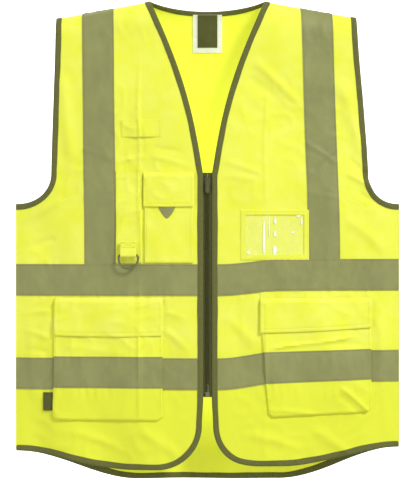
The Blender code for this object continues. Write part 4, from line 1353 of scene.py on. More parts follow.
@dataclass
class Tapes(Assembly):
    """Bands and braces of reflective tape."""

    width: float = 49.2 * MM
    chest_top: float = -412.4 * MM
    waist_top: float = -558.8 * MM
    start: float = 15.6 * MM
    sew_in: float = 2.2 * MM
    sway: Pair = (8 * MM, 12 * MM)
    between: float = -500 * MM
    rise_from: float = 18 * MM
    rise_over: float = 105 * MM
    crinkle: Waves = field(default_factory=lambda: Waves(211, 17 * MM))

    def across(self) -> Array:
        """Places across the tape, closer together at its sewn edges."""
        edge = np.array([0.0, 0.7, 1.4, 2.2, 3.0, 4.2, 6.0]) * MM
        middle = np.linspace(9 * MM, self.width - 9 * MM, 10)
        return np.concatenate([edge, middle, self.width - edge[::-1]])

    def press(self, off: Array, along: Array) -> Array:
        """Lift of the tape's face: pressed down at the stitching, rippled beside it."""
        near = np.minimum(off, self.width - off)
        groove = -0.22 * MM * np.exp(-(((near - self.sew_in) / (0.8 * MM)) ** 2))
        ripple = 0.16 * MM * np.sin(along * (2 * math.pi / (9.5 * MM))) * np.exp(-near / (3 * MM))
        fine = np.maximum(0.0, self.crinkle.at(off, along)) ** 2
        return groove + ripple + 0.30 * MM * fine * ease(near / (6 * MM))

    def rise(self, x: Number, top: float) -> Array:
        """How much higher a band lies on the left half."""
        amount = self.sway[top < self.between]
        return amount * ease((np.asarray(x) - self.rise_from) / self.rise_over)

    def lay(
        self, name: str, x: Array, run: Array, side: Side, off: Array, along: Array, lift: float
    ) -> Piece:
        """Lay a tape over a grid of places.

        Args:
            name: object name.
            x: width of each place.
            run: cloth length of each place.
            side: front or back.
            off: distance from the tape's first edge.
            along: distance along the tape.
            lift: lift of the tape's inner face.

        Returns:
            The object.
        """
        low = lift + self.press(off, along)
        inner = self.form.place(x, run, side, low)
        outer = self.form.place(x, run, side, low + TAPE_THICK)
        return slab(name, inner, outer)

    @staticmethod
    def cloth_under(name: str) -> str:
        """Panel that a tape of this name is sewn to."""
        return "back_cloth" if "back" in name else name.split("_")[0] + "_front_cloth"

    def band(self, name: str, x0: float, x1: float, top: float, side: Side, node: str) -> None:
        """Build one level band and its stitching."""
        count = int(abs(x1 - x0) / (3.4 * MM))
        off, along = lattice(self.across(), np.linspace(x0, x1, count))
        run = self.form.run_at(along, top - off + self.rise(along, top))
        over = TAPE_LIFT + TAPE_THICK + 0.05 * MM
        obj = self.lay(name, along, run, side, off, along, over)
        self.fit_tape(obj, node, (abs(x1 - x0) * 1.01, self.width), self.cloth_under(name))
        stitches = Stitches()
        line = np.linspace(x0 + 2 * MM, x1 - 2 * MM, count * 2)
        for z in (top - self.sew_in, top - self.width + self.sew_in):
            self.seam(stitches, line, z + self.rise(line, top), side, over + TAPE_THICK - 0.2 * MM)
        self.fit(stitches.make(f"{name}_stitching"), OLIVE_THREAD, REFLECTIVE)

    def brace(
        self, name: str, sign: int, side: Side, inner: Pair, node: str
    ) -> None:
        """Build one brace from the shoulder seam to the chest band."""
        form = self.form
        end = float(form.run_at(inner[1], self.chest_top - 4 * MM))
        runs, off = lattice(np.linspace(0, end, 128), self.across())
        x = inner[0] + (inner[1] - inner[0]) * runs / end + off
        obj = self.lay(name, sign * x, runs, side, off, runs, TAPE_LIFT)
        self.fit_tape(obj, node, (self.width, end), self.cloth_under(name))
        stitches = Stitches()
        line = np.linspace(0, end - 5 * MM, 200)
        for inside in (self.sew_in, self.width - self.sew_in):
            x = sign * (inner[0] + (inner[1] - inner[0]) * line / end + inside)
            face = form.place(x, line, side, TAPE_LIFT + TAPE_THICK - 0.2 * MM)
            stitches.row(face, form.outward(x, line, side))
        self.fit(stitches.make(f"{name}_stitching"), OLIVE_THREAD, REFLECTIVE)

    def build(self) -> None:
        """Build every band and brace."""
        end = self.form.half_width - 0.3 * MM
        shoulder = {"right": (147 * MM, 142 * MM), "left": (145 * MM, 158.5 * MM)}
        bands = (("chest", self.chest_top), ("waist", self.waist_top))
        for name, sign in HALVES:
            inner = shoulder[name]
            self.brace(f"{name}_front_brace", sign, Side.FRONT, inner, f"{name}_front_brace_tape")
            self.brace(
                f"{name}_back_brace", sign, Side.BACK, (inner[0], 150 * MM),
                f"{name}_back_brace_tape",
            )
            for part, top in bands:
                self.band(
                    f"{name}_{part}_band", sign * self.start, sign * end, top, Side.FRONT,
                    f"{name}_{part}_tape",
                )
        for part, top in bands:
            self.band(f"back_{part}_band", -end, end, top, Side.BACK, f"back_{part}_tape")


def oblong(x0: float, x1: float, z0: float, z1: float) -> List[Pair]:
    """Corners of an upright rectangle, in order."""
    return [(x0, z0), (x1, z0), (x1, z1), (x0, z1)]


def mirrored(half: Sequence[Pair]) -> List[Pair]:
    """Outline closed by the mirror image of its first half."""
    return list(half) + [(-x, z) for x, z in reversed(half)]


@dataclass
class ZipClosure(Assembly):
    """Coil zip with its tapes, slider and pull."""

    gap: float = 0.06 * MM
    tape_width: float = 12.5 * MM
    pitch: float = 1.55 * MM
    slider_top: float = -277.6 * MM
    slider_length: float = 12 * MM
    axis: Pair = (5.6 * MM, -281.6 * MM)

    def at(self, x: Array, z: Array, w: Array) -> Array:
        """Point on the flat strip behind the zip."""
        x, z, w = np.broadcast_arrays(np.asarray(x, float), z, w)
        y = self.form.base(0.0, self.form.run_at(0.0, self.form.zip_top), Side.FRONT)[1]
        return np.stack([x, y - w, z], -1)

    def tape(self, name: str, sign: int) -> Piece:
        """Build one woven tape with its corded inner edge."""
        form = self.form
        z, off = lattice(
            np.linspace(form.zip_bottom, form.zip_top + 4 * MM, 170),
            np.array([0.0, 0.6, 1.6, 3.0, 4.4, 6.0, 9.0, 12.5]) * MM,
        )
        cord = 0.35 * MM * np.exp(-(((off - 1.2 * MM) / (1.2 * MM)) ** 2))
        x = sign * (self.gap + off)
        low = -1.1 * MM
        return slab(name, self.at(x, z, low), self.at(x, z, low + 0.7 * MM + cord))

    def teeth(self, name: str, sign: int, bottom: float) -> Piece:
        """Build one row of coil teeth."""
        top = self.form.zip_top - 3.3 * MM
        start = top - (0.5 if sign > 0 else 1.0) * self.pitch
        count = int((start - bottom) / self.pitch)
        centre = start - np.arange(count) * self.pitch
        angle = turns(8)
        reach = np.array([-0.55, -0.1, 0.5, 1.6, 2.5, 3.05]) * MM
        size = np.array([0.35, 0.85, 1.0, 1.0, 0.9, 0.4])
        mid = 1.05 * MM
        x = sign * reach[None, :, None]
        z = centre[:, None, None] + 0.52 * MM * size[None, :, None] * np.cos(angle)
        w = mid + 1.1 * MM * size[None, :, None] * np.sin(angle)
        return prisms(name, self.at(x, z, w))

    def plate(
        self, outline: Sequence[Pair], low: float, high: float
    ) -> Tuple[Array, List[List[int]]]:
        """Closed plate between two lifts.

        Args:
            outline: pairs of width and height.
            low: inner lift.
            high: outer lift.

        Returns:
            Points and faces.
        """
        pairs = np.array(outline)
        count = len(pairs)
        points = np.concatenate(
            [self.at(pairs[:, 0], pairs[:, 1], low), self.at(pairs[:, 0], pairs[:, 1], high)]
        )
        ring = list(range(count))
        faces = [ring[::-1], [i + count for i in ring]]
        faces += [[i, (i + 1) % count, (i + 1) % count + count, i + count] for i in ring]
        return points, faces

    def joined(
        self, name: str, plates: Sequence[Tuple[Array, List[List[int]]]], round_by: float
    ) -> Piece:
        """Join closed plates in one object and round their edges."""
        points, faces, start = [], [], 0
        for part_points, part_faces in plates:
            points.append(part_points)
            faces += [[i + start for i in face] for face in part_faces]
            start += len(part_points)
        obj = tidy_normals(mesh_object(name, np.concatenate(points), faces))
        bevel = obj.modifiers.new("rounded", "BEVEL")
        bevel.width = round_by
        bevel.segments = 3
        bevel.limit_method = "ANGLE"
        return obj

    def slider(self) -> Piece:
        """Build the slider body and its bail."""
        top, long, axis = self.slider_top, self.slider_length, self.axis[1]
        bottom = top - long

        def body(half: float, waist: float) -> List[Pair]:
            """Outline of one wing."""
            return mirrored([
                (half * 0.72, top), (half, top - 0.18 * long), (half, top - 0.45 * long),
                (waist, bottom + 0.12 * long), (waist * 0.8, bottom),
            ])

        front = self.plate(body(4.3 * MM, 3.7 * MM), 2.5 * MM, 3.6 * MM)
        back = self.plate(body(4.2 * MM, 3.6 * MM), -2.5 * MM, -1.4 * MM)
        parts = [front, back]
        for sign in (-1, 1):
            rail = [
                (sign * 3.35 * MM, top - 3 * MM), (sign * 4.25 * MM, top - 3 * MM),
                (sign * 4.1 * MM, bottom + 2.5 * MM), (sign * 3.35 * MM, bottom + 1.5 * MM),
            ]
            parts.append(self.plate(rail, 0.15 * MM, 2.7 * MM))
            post = 1.85 * MM * sign
            leg = oblong(post - 0.35 * MM, post + 0.35 * MM, axis - 0.7 * MM, axis + 0.7 * MM)
            parts.append(self.plate(leg, 3.3 * MM, 6.1 * MM))
        blade = oblong(-0.2 * MM, 0.2 * MM, top - 0.5 * MM, top - 5 * MM)
        parts.append(self.plate(blade, -1.6 * MM, 2.7 * MM))
        bar = oblong(-2.1 * MM, 2.1 * MM, axis - 0.6 * MM, axis + 0.6 * MM)
        parts.append(self.plate(bar, 5.0 * MM, 6.2 * MM))
        return self.joined("zip_slider_body", parts, 0.28 * MM)

    def pull(self) -> Piece:
        """Build the pull: an eye, a neck and a plate with a slot."""
        w, z = self.axis
        around = 24
        angle = turns(around)
        rings = [
            self.at(x * MM, z + radius * MM * np.sin(angle), w + radius * MM * np.cos(angle))
            for x, radius in ((-1.25, 1.1), (-1.25, 1.65), (1.25, 1.65), (1.25, 1.1))
        ]
        index = np.arange(len(rings) * around).reshape(-1, around)
        after, nxt = np.roll(index, -1, axis=1), np.roll(index, -1, axis=0)
        faces = np.stack([index, after, np.roll(nxt, -1, axis=1), nxt], -1).reshape(-1, 4).tolist()
        start = z - 1.4 * MM
        half = [
            (x * MM, start - drop * MM)
            for x, drop in (
                (1.2, 0), (1.2, 1.6), (2.6, 3.4), (3.0, 6), (3.0, 15.5), (2.4, 17.8), (1.0, 18.6)
            )
        ]
        tab = self.plate(mirrored(half), w - 0.6 * MM, w + 0.6 * MM)
        rib = oblong(-1.5 * MM, 1.5 * MM, start - 6.5 * MM, start - 15 * MM)
        raised = self.plate(rib, w + 0.5 * MM, w + 0.95 * MM)
        return self.joined("zip_pull_tab", [(np.concatenate(rings), faces), tab, raised], 0.3 * MM)

    def build(self) -> None:
        """Build the whole closure."""
        bottoms = {"right": -610.7 * MM, "left": -600.2 * MM}
        for name, sign in HALVES:
            self.fit(
                self.tape(f"{name}_zip_cloth", sign), ZIP_TAPE, TRIM,
                stands_for=[f"{name}_zip_tape"], flat=(self.tape_width, 0.349), held="stretched",
                rests_on=[f"{name}_front_edge_tape"],
            )
            self.fit(
                self.teeth(f"{name}_zip_teeth", sign, bottoms[name]), COIL, "zip_coil",
                stands_for=[f"{name}_zip_coil"],
            )
            ENAMEL.dress(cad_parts[f"{name}_zip_stop"])
        for node in ("zip_box", "zip_pin"):
            PLASTIC.dress(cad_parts[node])
        self.fit(self.slider(), ENAMEL, "coated_metal", Rider.SLIDER, ["zip_slider"])
        self.fit(self.pull(), ENAMEL, "coated_metal", Rider.PULL, ["zip_pull"])


def crowd(low: float, high: float, edge: float, fine: int, coarse: int) -> Array:
    """Places between two limits, closer together near both of them."""
    first = low + edge * np.linspace(0, 1, fine) ** 1.4
    last = high - edge * np.linspace(0, 1, fine)[::-1] ** 1.4
    return np.concatenate([first, np.linspace(low + edge, high - edge, coarse)[1:-1], last])


@dataclass
class Bag:
    """A patch pocket: a wall that stands off the cloth between sewn edges."""

    form: Form
    x0: float
    x1: float
    top: float
    bottom: float
    depth: float
    mouth: float
    edge: float = 3.2 * MM
    chamfer: float = 8 * MM
    rim: float = 0.9 * MM
    hem: float = 14 * MM
    tuck: float = 0.9 * MM
    skew: float = 0.0
    tilt: float = 0.0
    creases: Tuple[Crease, ...] = ()
    sag: Waves = field(default_factory=lambda: Waves(91, 48 * MM))

    def put(self, x: Array, z: Array, lift: Array) -> Array:
        """Place on the wall, leaning and tilted as the pocket lies.

        Args:
            x: width on the level pocket.
            z: height on the level pocket.
            lift: distance outside the cloth's inner face.

        Returns:
            Points, with the coordinates on the last axis.
        """
        near = np.minimum(x - self.x0, self.x1 - x)
        middle = (self.x0 + self.x1) / 2
        x = x + np.sign(middle - x) * self.tuck * np.exp(-np.maximum(near, 0.0) / (0.45 * MM))
        share = (x - self.x0) / (self.x1 - self.x0)
        fall = np.clip((self.top - z) / (self.top - self.bottom), 0, 1)
        wide = x + self.skew * fall**1.5 * (1 - share)
        low = np.maximum(z - self.floor(x), 0.0)
        high = z + self.tilt * share * (0.25 + 0.75 * fall)
        high = high + self.tuck * np.exp(-low / (0.45 * MM))
        return self.form.place_z(wide, high, Side.FRONT, lift)

    def floor(self, x: Array) -> Array:
        """Height of the bottom edge, raised at both corners."""
        near = np.minimum(x - self.x0, self.x1 - x)
        return self.bottom + np.maximum(0.0, self.chamfer - near) * 0.8

    def lift(self, x: Array, z: Array) -> Array:
        """Lift of the wall's inner face."""
        near = np.minimum(x - self.x0, self.x1 - x)
        low = z - self.floor(x)
        side = 1 - (1 - np.clip(near / self.edge, 0, 1)) ** 2.6
        base = 1 - (1 - np.clip(low / (1.4 * self.edge), 0, 1)) ** 2.6
        fall = np.clip((self.top - z) / (self.top - self.bottom), 0, 1)
        depth = self.mouth + (self.depth - self.mouth) * ease(fall * 1.7)
        slack = 0.40 * MM * self.sag.at(x * 1.3, z)
        for crease in self.creases:
            slack = slack + np.maximum(crease.at(x, z), -1.2 * MM)
        return self.rim + (depth - self.rim + slack) * side * base

    def columns(self) -> Array:
        """Widths of the wall's columns, close together at both sides."""
        return crowd(self.x0, self.x1, self.edge, 9, max(6, int((self.x1 - self.x0) / (2.5 * MM))))

    def wall(self, name: str) -> Piece:
        """Build the wall."""
        x = self.columns()
        v = np.concatenate([np.linspace(0, 0.9, 60), 1 - 0.1 * np.linspace(1, 0, 18)[1:] ** 1.7])
        grid_x = np.broadcast_to(x, (len(v), len(x)))
        z = self.top + (self.floor(grid_x) - self.top) * v[:, None]
        low = self.lift(grid_x, z)
        ridge = 0.5 * MM * (ease((z - self.top + self.hem) / (1 * MM)))
        press = -0.3 * MM * np.exp(-(((z - self.top + self.hem - 2 * MM) / (0.9 * MM)) ** 2))
        thick = CLOTH + ridge + press
        return slab(name, self.put(grid_x, z, low), self.put(grid_x, z, low + thick))

    def sew(self, stitches: Stitches) -> None:
        """Sew the sides, the floor and the top hem."""
        inset = 4.2 * MM
        side = np.linspace(self.top - 2 * MM, self.bottom + 9 * MM, 60)
        for x in (self.x0 + inset, self.x1 - inset):
            self.sew_row(stitches, np.full_like(side, x), side)
        x = np.linspace(self.x0 + 6 * MM, self.x1 - 6 * MM, 60)
        self.sew_row(stitches, x, self.floor(x) + inset)
        x = np.linspace(self.x0 + 2 * MM, self.x1 - 2 * MM, 80)
        self.sew_row(stitches, x, np.full_like(x, self.top - self.hem + 2 * MM))

    def sew_row(self, stitches: Stitches, x: Array, z: Array, extra: float = 0.0) -> None:
        """Sew one row on the wall's face."""
        lift = self.lift(x, z) + CLOTH + 0.05 * MM + extra
        stitches.over(lambda rise: self.put(x, z, lift + rise))


@dataclass
class Flap:
    """A flap sewn above a pocket, hanging over its mouth."""

    form: Form
    x0: float
    x1: float
    top: float
    bottom: float
    plate: float
    root: float = 1.5 * MM
    turn: float = 12 * MM
    bow: float = 1.5 * MM
    chamfer: float = 5 * MM
    thick: float = 1.1 * MM
    hem: float = 6 * MM
    tilt: float = 0.0
    curl: Waves = field(default_factory=lambda: Waves(133, 60 * MM))

    def lower(self, x: Array) -> Array:
        """Height of the lower edge."""
        middle, half = (self.x0 + self.x1) / 2, (self.x1 - self.x0) / 2
        near = half - np.abs(x - middle)
        rise = np.maximum(0.0, self.chamfer - near) * 0.9
        bow = self.bow * ((x - middle) / half) ** 2
        return self.bottom + bow + rise + self.tilt * (x - self.x0) / (self.x1 - self.x0)

    def lift(self, x: Array, z: Array) -> Array:
        """Lift of the flap's inner face."""
        t = np.clip((self.top - z) / self.turn, 0, 1)
        out = self.root + (self.plate - self.root) * np.sin(t * math.pi / 2) ** 0.8
        loose = ease((self.top - z - self.turn) / (30 * MM))
        return out + 0.5 * MM * loose * (self.curl.at(x, z) + 0.6)

    def cloth(self, name: str) -> Piece:
        """Build the flap."""
        x = crowd(self.x0, self.x1, 8 * MM, 9, max(8, int((self.x1 - self.x0) / (4 * MM))))
        v = np.concatenate(
            [np.linspace(0, 0.22, 12), np.linspace(0.22, 0.8, 14)[1:], np.linspace(0.8, 1, 11)[1:]]
        )
        grid_x = np.broadcast_to(x, (len(v), len(x)))
        z = self.top + (self.lower(grid_x) - self.top) * v[:, None]
        low = self.lift(grid_x, z)
        near = np.minimum(np.minimum(grid_x - self.x0, self.x1 - grid_x), z - self.lower(grid_x))
        press = -0.32 * MM * np.exp(-(((near - self.hem) / (0.9 * MM)) ** 2))
        edge = -0.55 * MM * np.exp(-near / (0.9 * MM))
        return front_slab(self.form, name, grid_x, z, low, self.thick + press + edge)

    def sew(self, stitches: Stitches) -> None:
        """Sew round the flap, inside its edge."""
        left, right = self.x0 + self.hem, self.x1 - self.hem
        for x in (left, right):
            low = float(self.lower(np.array(x))) + self.hem
            z = np.linspace(self.top - 3 * MM, low, 40)
            self.run_row(stitches, np.full_like(z, x), z)
        x = np.linspace(left, right, 80)
        self.run_row(stitches, x, self.lower(x) + self.hem)

    def run_row(self, stitches: Stitches, x: Array, z: Array) -> None:
        """Sew one row on the flap's face."""
        run = self.form.run_at(x, z)
        lift = self.lift(x, z) + self.thick - 0.25 * MM
        face = self.form.place(x, run, Side.FRONT, lift)
        stitches.row(face, self.form.outward(x, run, Side.FRONT))


@dataclass
class PocketAssembly(Assembly):
    """Shared building of pockets with flaps."""

    def add_bag(
        self, bag: Bag, name: str, sewing: str, node: str, flat: Pair, panel: str
    ) -> None:
        """Build a bag's wall and its stitching."""
        self.fit(
            bag.wall(name), YELLOW, FABRIC, stands_for=[node], flat=flat, held="stretched",
            rests_on=[panel],
        )
        stitches = Stitches()
        bag.sew(stitches)
        self.fit(stitches.make(sewing), YELLOW_THREAD, FABRIC)

    def add_flap(
        self, flap: Flap, node: str, rider: Rider, flat: Pair, panel: str
    ) -> None:
        """Build a flap and its stitching, named after the node."""
        self.fit(
            flap.cloth(f"{node}_cloth"), YELLOW, FABRIC, rider, [node], flat=flat, held="hung",
            rests_on=[panel], root=flap.top,
        )
        stitches = Stitches()
        flap.sew(stitches)
        self.fit(stitches.make(f"{node}_stitching"), YELLOW_THREAD, FABRIC, rider, root=flap.top)

    def patch(
        self,
        name: str,
        x: Pair,
        z: Pair,
        lift: Callable[[Array, Array], Array],
        rider: Rider,
        node: str,
    ) -> None:
        """Build one half of a hook and loop fastener."""
        grid_z, grid_x = lattice(np.linspace(*z, 14), np.linspace(*x, 30))
        low = lift(grid_x, grid_z)
        near = np.minimum(
            np.minimum(grid_x - x[0], x[1] - grid_x), np.minimum(grid_z - z[0], z[1] - grid_z)
        )
        pile = 0.2 * MM + 0.25 * MM * ease(near / (2 * MM))
        obj = front_slab(self.form, name, grid_x, grid_z, low, pile)
        self.fit(obj, PILE, "hook_and_loop", rider, [node])

    def fasten(
        self,
        prefix: str,
        x: Pair,
        z: Pair,
        bag: Bag,
        flap: Flap,
        rider: Rider,
        raised: float = 0.0,
    ) -> None:
        """Build both halves of a fastener between a bag and its flap.

        Args:
            prefix: first part of the names.
            x: limits of the width.
            z: limits of the height.
            bag: pocket that carries the loops.
            flap: flap that carries the hooks.
            rider: moving group of the flap.
            raised: extra lift of the loops.
        """
        self.patch(
            f"{prefix}_loop_pile", x, z, lambda a, b: bag.lift(a, b) + CLOTH + raised,
            Rider.VEST, f"{prefix}_loop_patch",
        )
        self.patch(
            f"{prefix}_hook_pile", x, z, lambda a, b: flap.lift(a, b) - HOOK_DROP,
            rider, f"{prefix}_hook_patch",
        )


@dataclass
class LowerPocket(PocketAssembly):
    """Large pocket with flap, tape and fastener."""

    prefix: str = "right"
    centre: float = -155.5 * MM
    width: float = 173 * MM
    top: float = -476 * MM
    bottom: float = -657 * MM
    flap_top: float = -464.4 * MM
    flap_bottom: float = -525 * MM
    skew: float = -3 * MM
    tilt: float = 0.0
    band_rise: float = 2.5 * MM
    trim: float = 2.4 * MM
    heading: float = 0.0
    pile_half: float = 26 * MM
    pile_rows: Pair = (-513 * MM, -495 * MM)
    creases: Tuple[Crease, ...] = in_mm(
        Crease,
        (-232, -540, -120, -552, 5, 1.0), (-107, -500, -106, -660, 2.6, 1.0),
    )
    rider: Rider = Rider.RIGHT_FLAP

    def build(self) -> None:
        """Build the pocket."""
        form, prefix = self.form, self.prefix
        x0, x1 = self.centre - self.width / 2 + self.trim, self.centre + self.width / 2
        seed = 90 if prefix == "right" else 190
        bag = Bag(
            form, x0, x1, self.top, self.bottom, 4.6 * MM, 2.9 * MM, skew=self.skew,
            tilt=self.tilt, creases=self.creases, sag=Waves(seed, 46 * MM),
        )
        name, panel = f"{prefix}_lower_bag", f"{prefix}_front_cloth"
        self.add_bag(
            bag, name, f"{name}_stitching", f"{prefix}_lower_pocket", (0.19, 0.19), panel
        )
        self.tape(bag)
        flap = Flap(
            form, x0 + 0.8 * self.trim, x1 - 0.2 * MM, self.flap_top, self.flap_bottom, 5.9 * MM,
            root=1.1 * MM, turn=9 * MM, chamfer=2 * MM, tilt=self.tilt,
            curl=Waves(seed + 5, 62 * MM),
        )
        self.add_flap(flap, f"{prefix}_lower_flap", self.rider, (0.174, 0.065), panel)
        if self.heading:
            self.strip(flap)
        x = (self.centre - self.pile_half, self.centre + self.pile_half)
        self.fasten(f"{prefix}_lower", x, self.pile_rows, bag, flap, self.rider)

    def strip(self, flap: Flap) -> None:
        """Build the sewn strip between the flap's root and the chest band."""
        z, x = lattice(
            np.linspace(flap.top + self.heading, flap.top + 0.2 * MM, 8),
            np.linspace(flap.x0, flap.x1, 60),
        )
        low = 0.95 * MM + (flap.root - 0.95 * MM) * (flap.top + self.heading - z) / self.heading
        name = f"{self.prefix}_lower_flap_heading"
        obj = front_slab(self.form, name, x, z, low, flap.thick - 0.3 * MM)
        self.fit(
            obj, YELLOW, FABRIC, flat=(flap.x1 - flap.x0, self.heading + 2 * MM),
            held="stretched", rests_on=[f"{self.prefix}_front_cloth"],
        )

    def tape(self, bag: Bag) -> None:
        """Build the reflective tape across the bag."""
        tapes = Tapes(self.form)
        off, along = lattice(tapes.across(), bag.columns()[2:-2])
        z = tapes.waist_top + self.band_rise - off
        low = bag.lift(along, z) + CLOTH + 0.15 * MM + tapes.press(off, along)
        obj = slab(
            f"{self.prefix}_bag_band", bag.put(along, z, low), bag.put(along, z, low + TAPE_THICK)
        )
        under = f"{self.prefix}_lower_bag"
        self.fit_tape(obj, f"{self.prefix}_pocket_tape", (0.185, 0.05), under)
        stitches = Stitches()
        line = np.linspace(bag.x0 + 3 * MM, bag.x1 - 3 * MM, 120)
        for inside in (tapes.sew_in, tapes.width - tapes.sew_in):
            height = np.full_like(line, tapes.waist_top + self.band_rise - inside)
            bag.sew_row(stitches, line, height, TAPE_THICK)
        self.fit(stitches.make(f"{self.prefix}_bag_band_stitching"), OLIVE_THREAD, REFLECTIVE)


@dataclass
class ChestPockets(PocketAssembly):
    """Phone pocket, pen pocket and radio loop on the right chest."""

    def phone(self) -> None:
        """Build the phone pocket with its flap and pull tab."""
        form = self.form
        x0, x1 = -98.3 * MM, -21.7 * MM
        bag = Bag(
            form, x0, x1, -281 * MM, -411.5 * MM, 3.9 * MM, 3.3 * MM, edge=2.4 * MM,
            chamfer=2 * MM, sag=Waves(71, 40 * MM),
        )
        self.add_bag(
            bag, "phone_pocket_bag", "phone_pocket_stitching", "phone_pocket", (0.085, 0.135),
            "right_front_cloth",
        )
        flap = Flap(
            form, x0 - 1 * MM, x1 + 1 * MM, -269.5 * MM, -323 * MM, 6.0 * MM, root=1.0 * MM,
            turn=8 * MM, bow=0.6 * MM, chamfer=1 * MM, hem=5 * MM, curl=Waves(74, 50 * MM),
        )
        self.add_flap(flap, "phone_flap", Rider.PHONE_FLAP, (0.079, 0.057), "right_front_cloth")
        middle = (x0 + x1) / 2
        x, z = (middle - 15 * MM, middle + 15 * MM), (-307 * MM, -291 * MM)
        self.fasten("phone", x, z, bag, flap, Rider.PHONE_FLAP, 0.5 * MM)
        self.tab(middle - 3 * MM, flap)

    def tab(self, middle: float, flap: Flap) -> None:
        """Build the pointed tab under the flap's edge."""
        v, u = lattice(np.linspace(0, 1, 22) ** 0.8, np.linspace(-1, 1, 13))
        taper = np.clip((v - 0.30) / 0.70, 0, 1)
        half = 12.4 * MM * np.sqrt(np.maximum(0.0, 1 - taper**2.2)) * (1 - 0.52 * taper)
        x = middle + u * np.maximum(half, 0.5 * MM)
        z = -318 * MM - v * 23.5 * MM
        base = flap.lift(np.full_like(x, middle), np.full_like(z, -318 * MM)) - 0.75 * MM
        low = base - 0.9 * MM * v + 0.25 * MM * np.cos(u * 2.0)
        obj = front_slab(self.form, "phone_flap_point", x, z, low, 0.6 * MM)
        self.fit(
            obj, TAPE, REFLECTIVE, Rider.PHONE_FLAP, ["phone_flap_tab"],
            flat=(0.025, 0.024), area=0.00044, held="stretched", rests_on=["phone_flap_cloth"],
        )

    def pen(self) -> None:
        """Build the pen pocket."""
        bag = Bag(
            self.form, -143.3 * MM, -100.7 * MM, -268 * MM, -411.5 * MM, 3.4 * MM, 3.0 * MM,
            edge=2.2 * MM, chamfer=1.5 * MM, hem=12 * MM, sag=Waves(77, 40 * MM),
        )
        self.add_bag(
            bag, "pen_pocket_bag", "pen_pocket_stitching", "pen_pocket", (0.052, 0.147),
            "right_front_cloth",
        )

    def loop(self) -> None:
        """Build the arched loop for a radio lead."""
        x0, x1, top, bottom = -134 * MM, -72 * MM, -187 * MM, -214 * MM
        v, u = lattice(np.linspace(0, 1, 16), np.linspace(0, 1, 44))
        x, z = x0 + (x1 - x0) * u, top + (bottom - top) * v
        rise = ease((0.5 - np.abs(u - 0.5) - 0.06) / 0.3)
        low = 0.95 * MM + (0.9 + 1.5 * v) * MM * rise
        near = np.minimum(v, 1 - v) * (top - bottom)
        press = -0.25 * MM * np.exp(-(((near - 3 * MM) / (0.8 * MM)) ** 2))
        low_edge = 0.9 * MM - 0.3 * MM * np.exp(-near / (0.8 * MM))
        obj = front_slab(self.form, "radio_loop_cloth", x, z, low, low_edge + press)
        self.fit(
            obj, YELLOW, FABRIC, stands_for=["radio_loop"], flat=(0.064, 0.027),
            held="stretched", rests_on=["right_front_cloth"],
        )
        sewing = Stitches()
        line = np.linspace(top - 1 * MM, bottom + 1 * MM, 20)
        for x_at in (x0 + 2 * MM, x1 - 2 * MM):
            self.seam(sewing, np.full_like(line, x_at), line, Side.FRONT, 1.85 * MM)
        xs = np.linspace(x0 + 1 * MM, x1 - 1 * MM, 60)
        t = (xs - x0) / (x1 - x0)
        for z_at, rise_at in ((top - 3 * MM, 1.05 * MM), (bottom + 3 * MM, 2.25 * MM)):
            high = 1.63 * MM + rise_at * ease((0.5 - np.abs(t - 0.5) - 0.06) / 0.3)
            self.seam(sewing, xs, np.full_like(xs, z_at), Side.FRONT, high)
        self.fit(sewing.make("radio_loop_stitching"), YELLOW_THREAD, FABRIC)

    def build(self) -> None:
        """Build everything on the right chest."""
        self.phone()
        self.pen()
        self.loop()


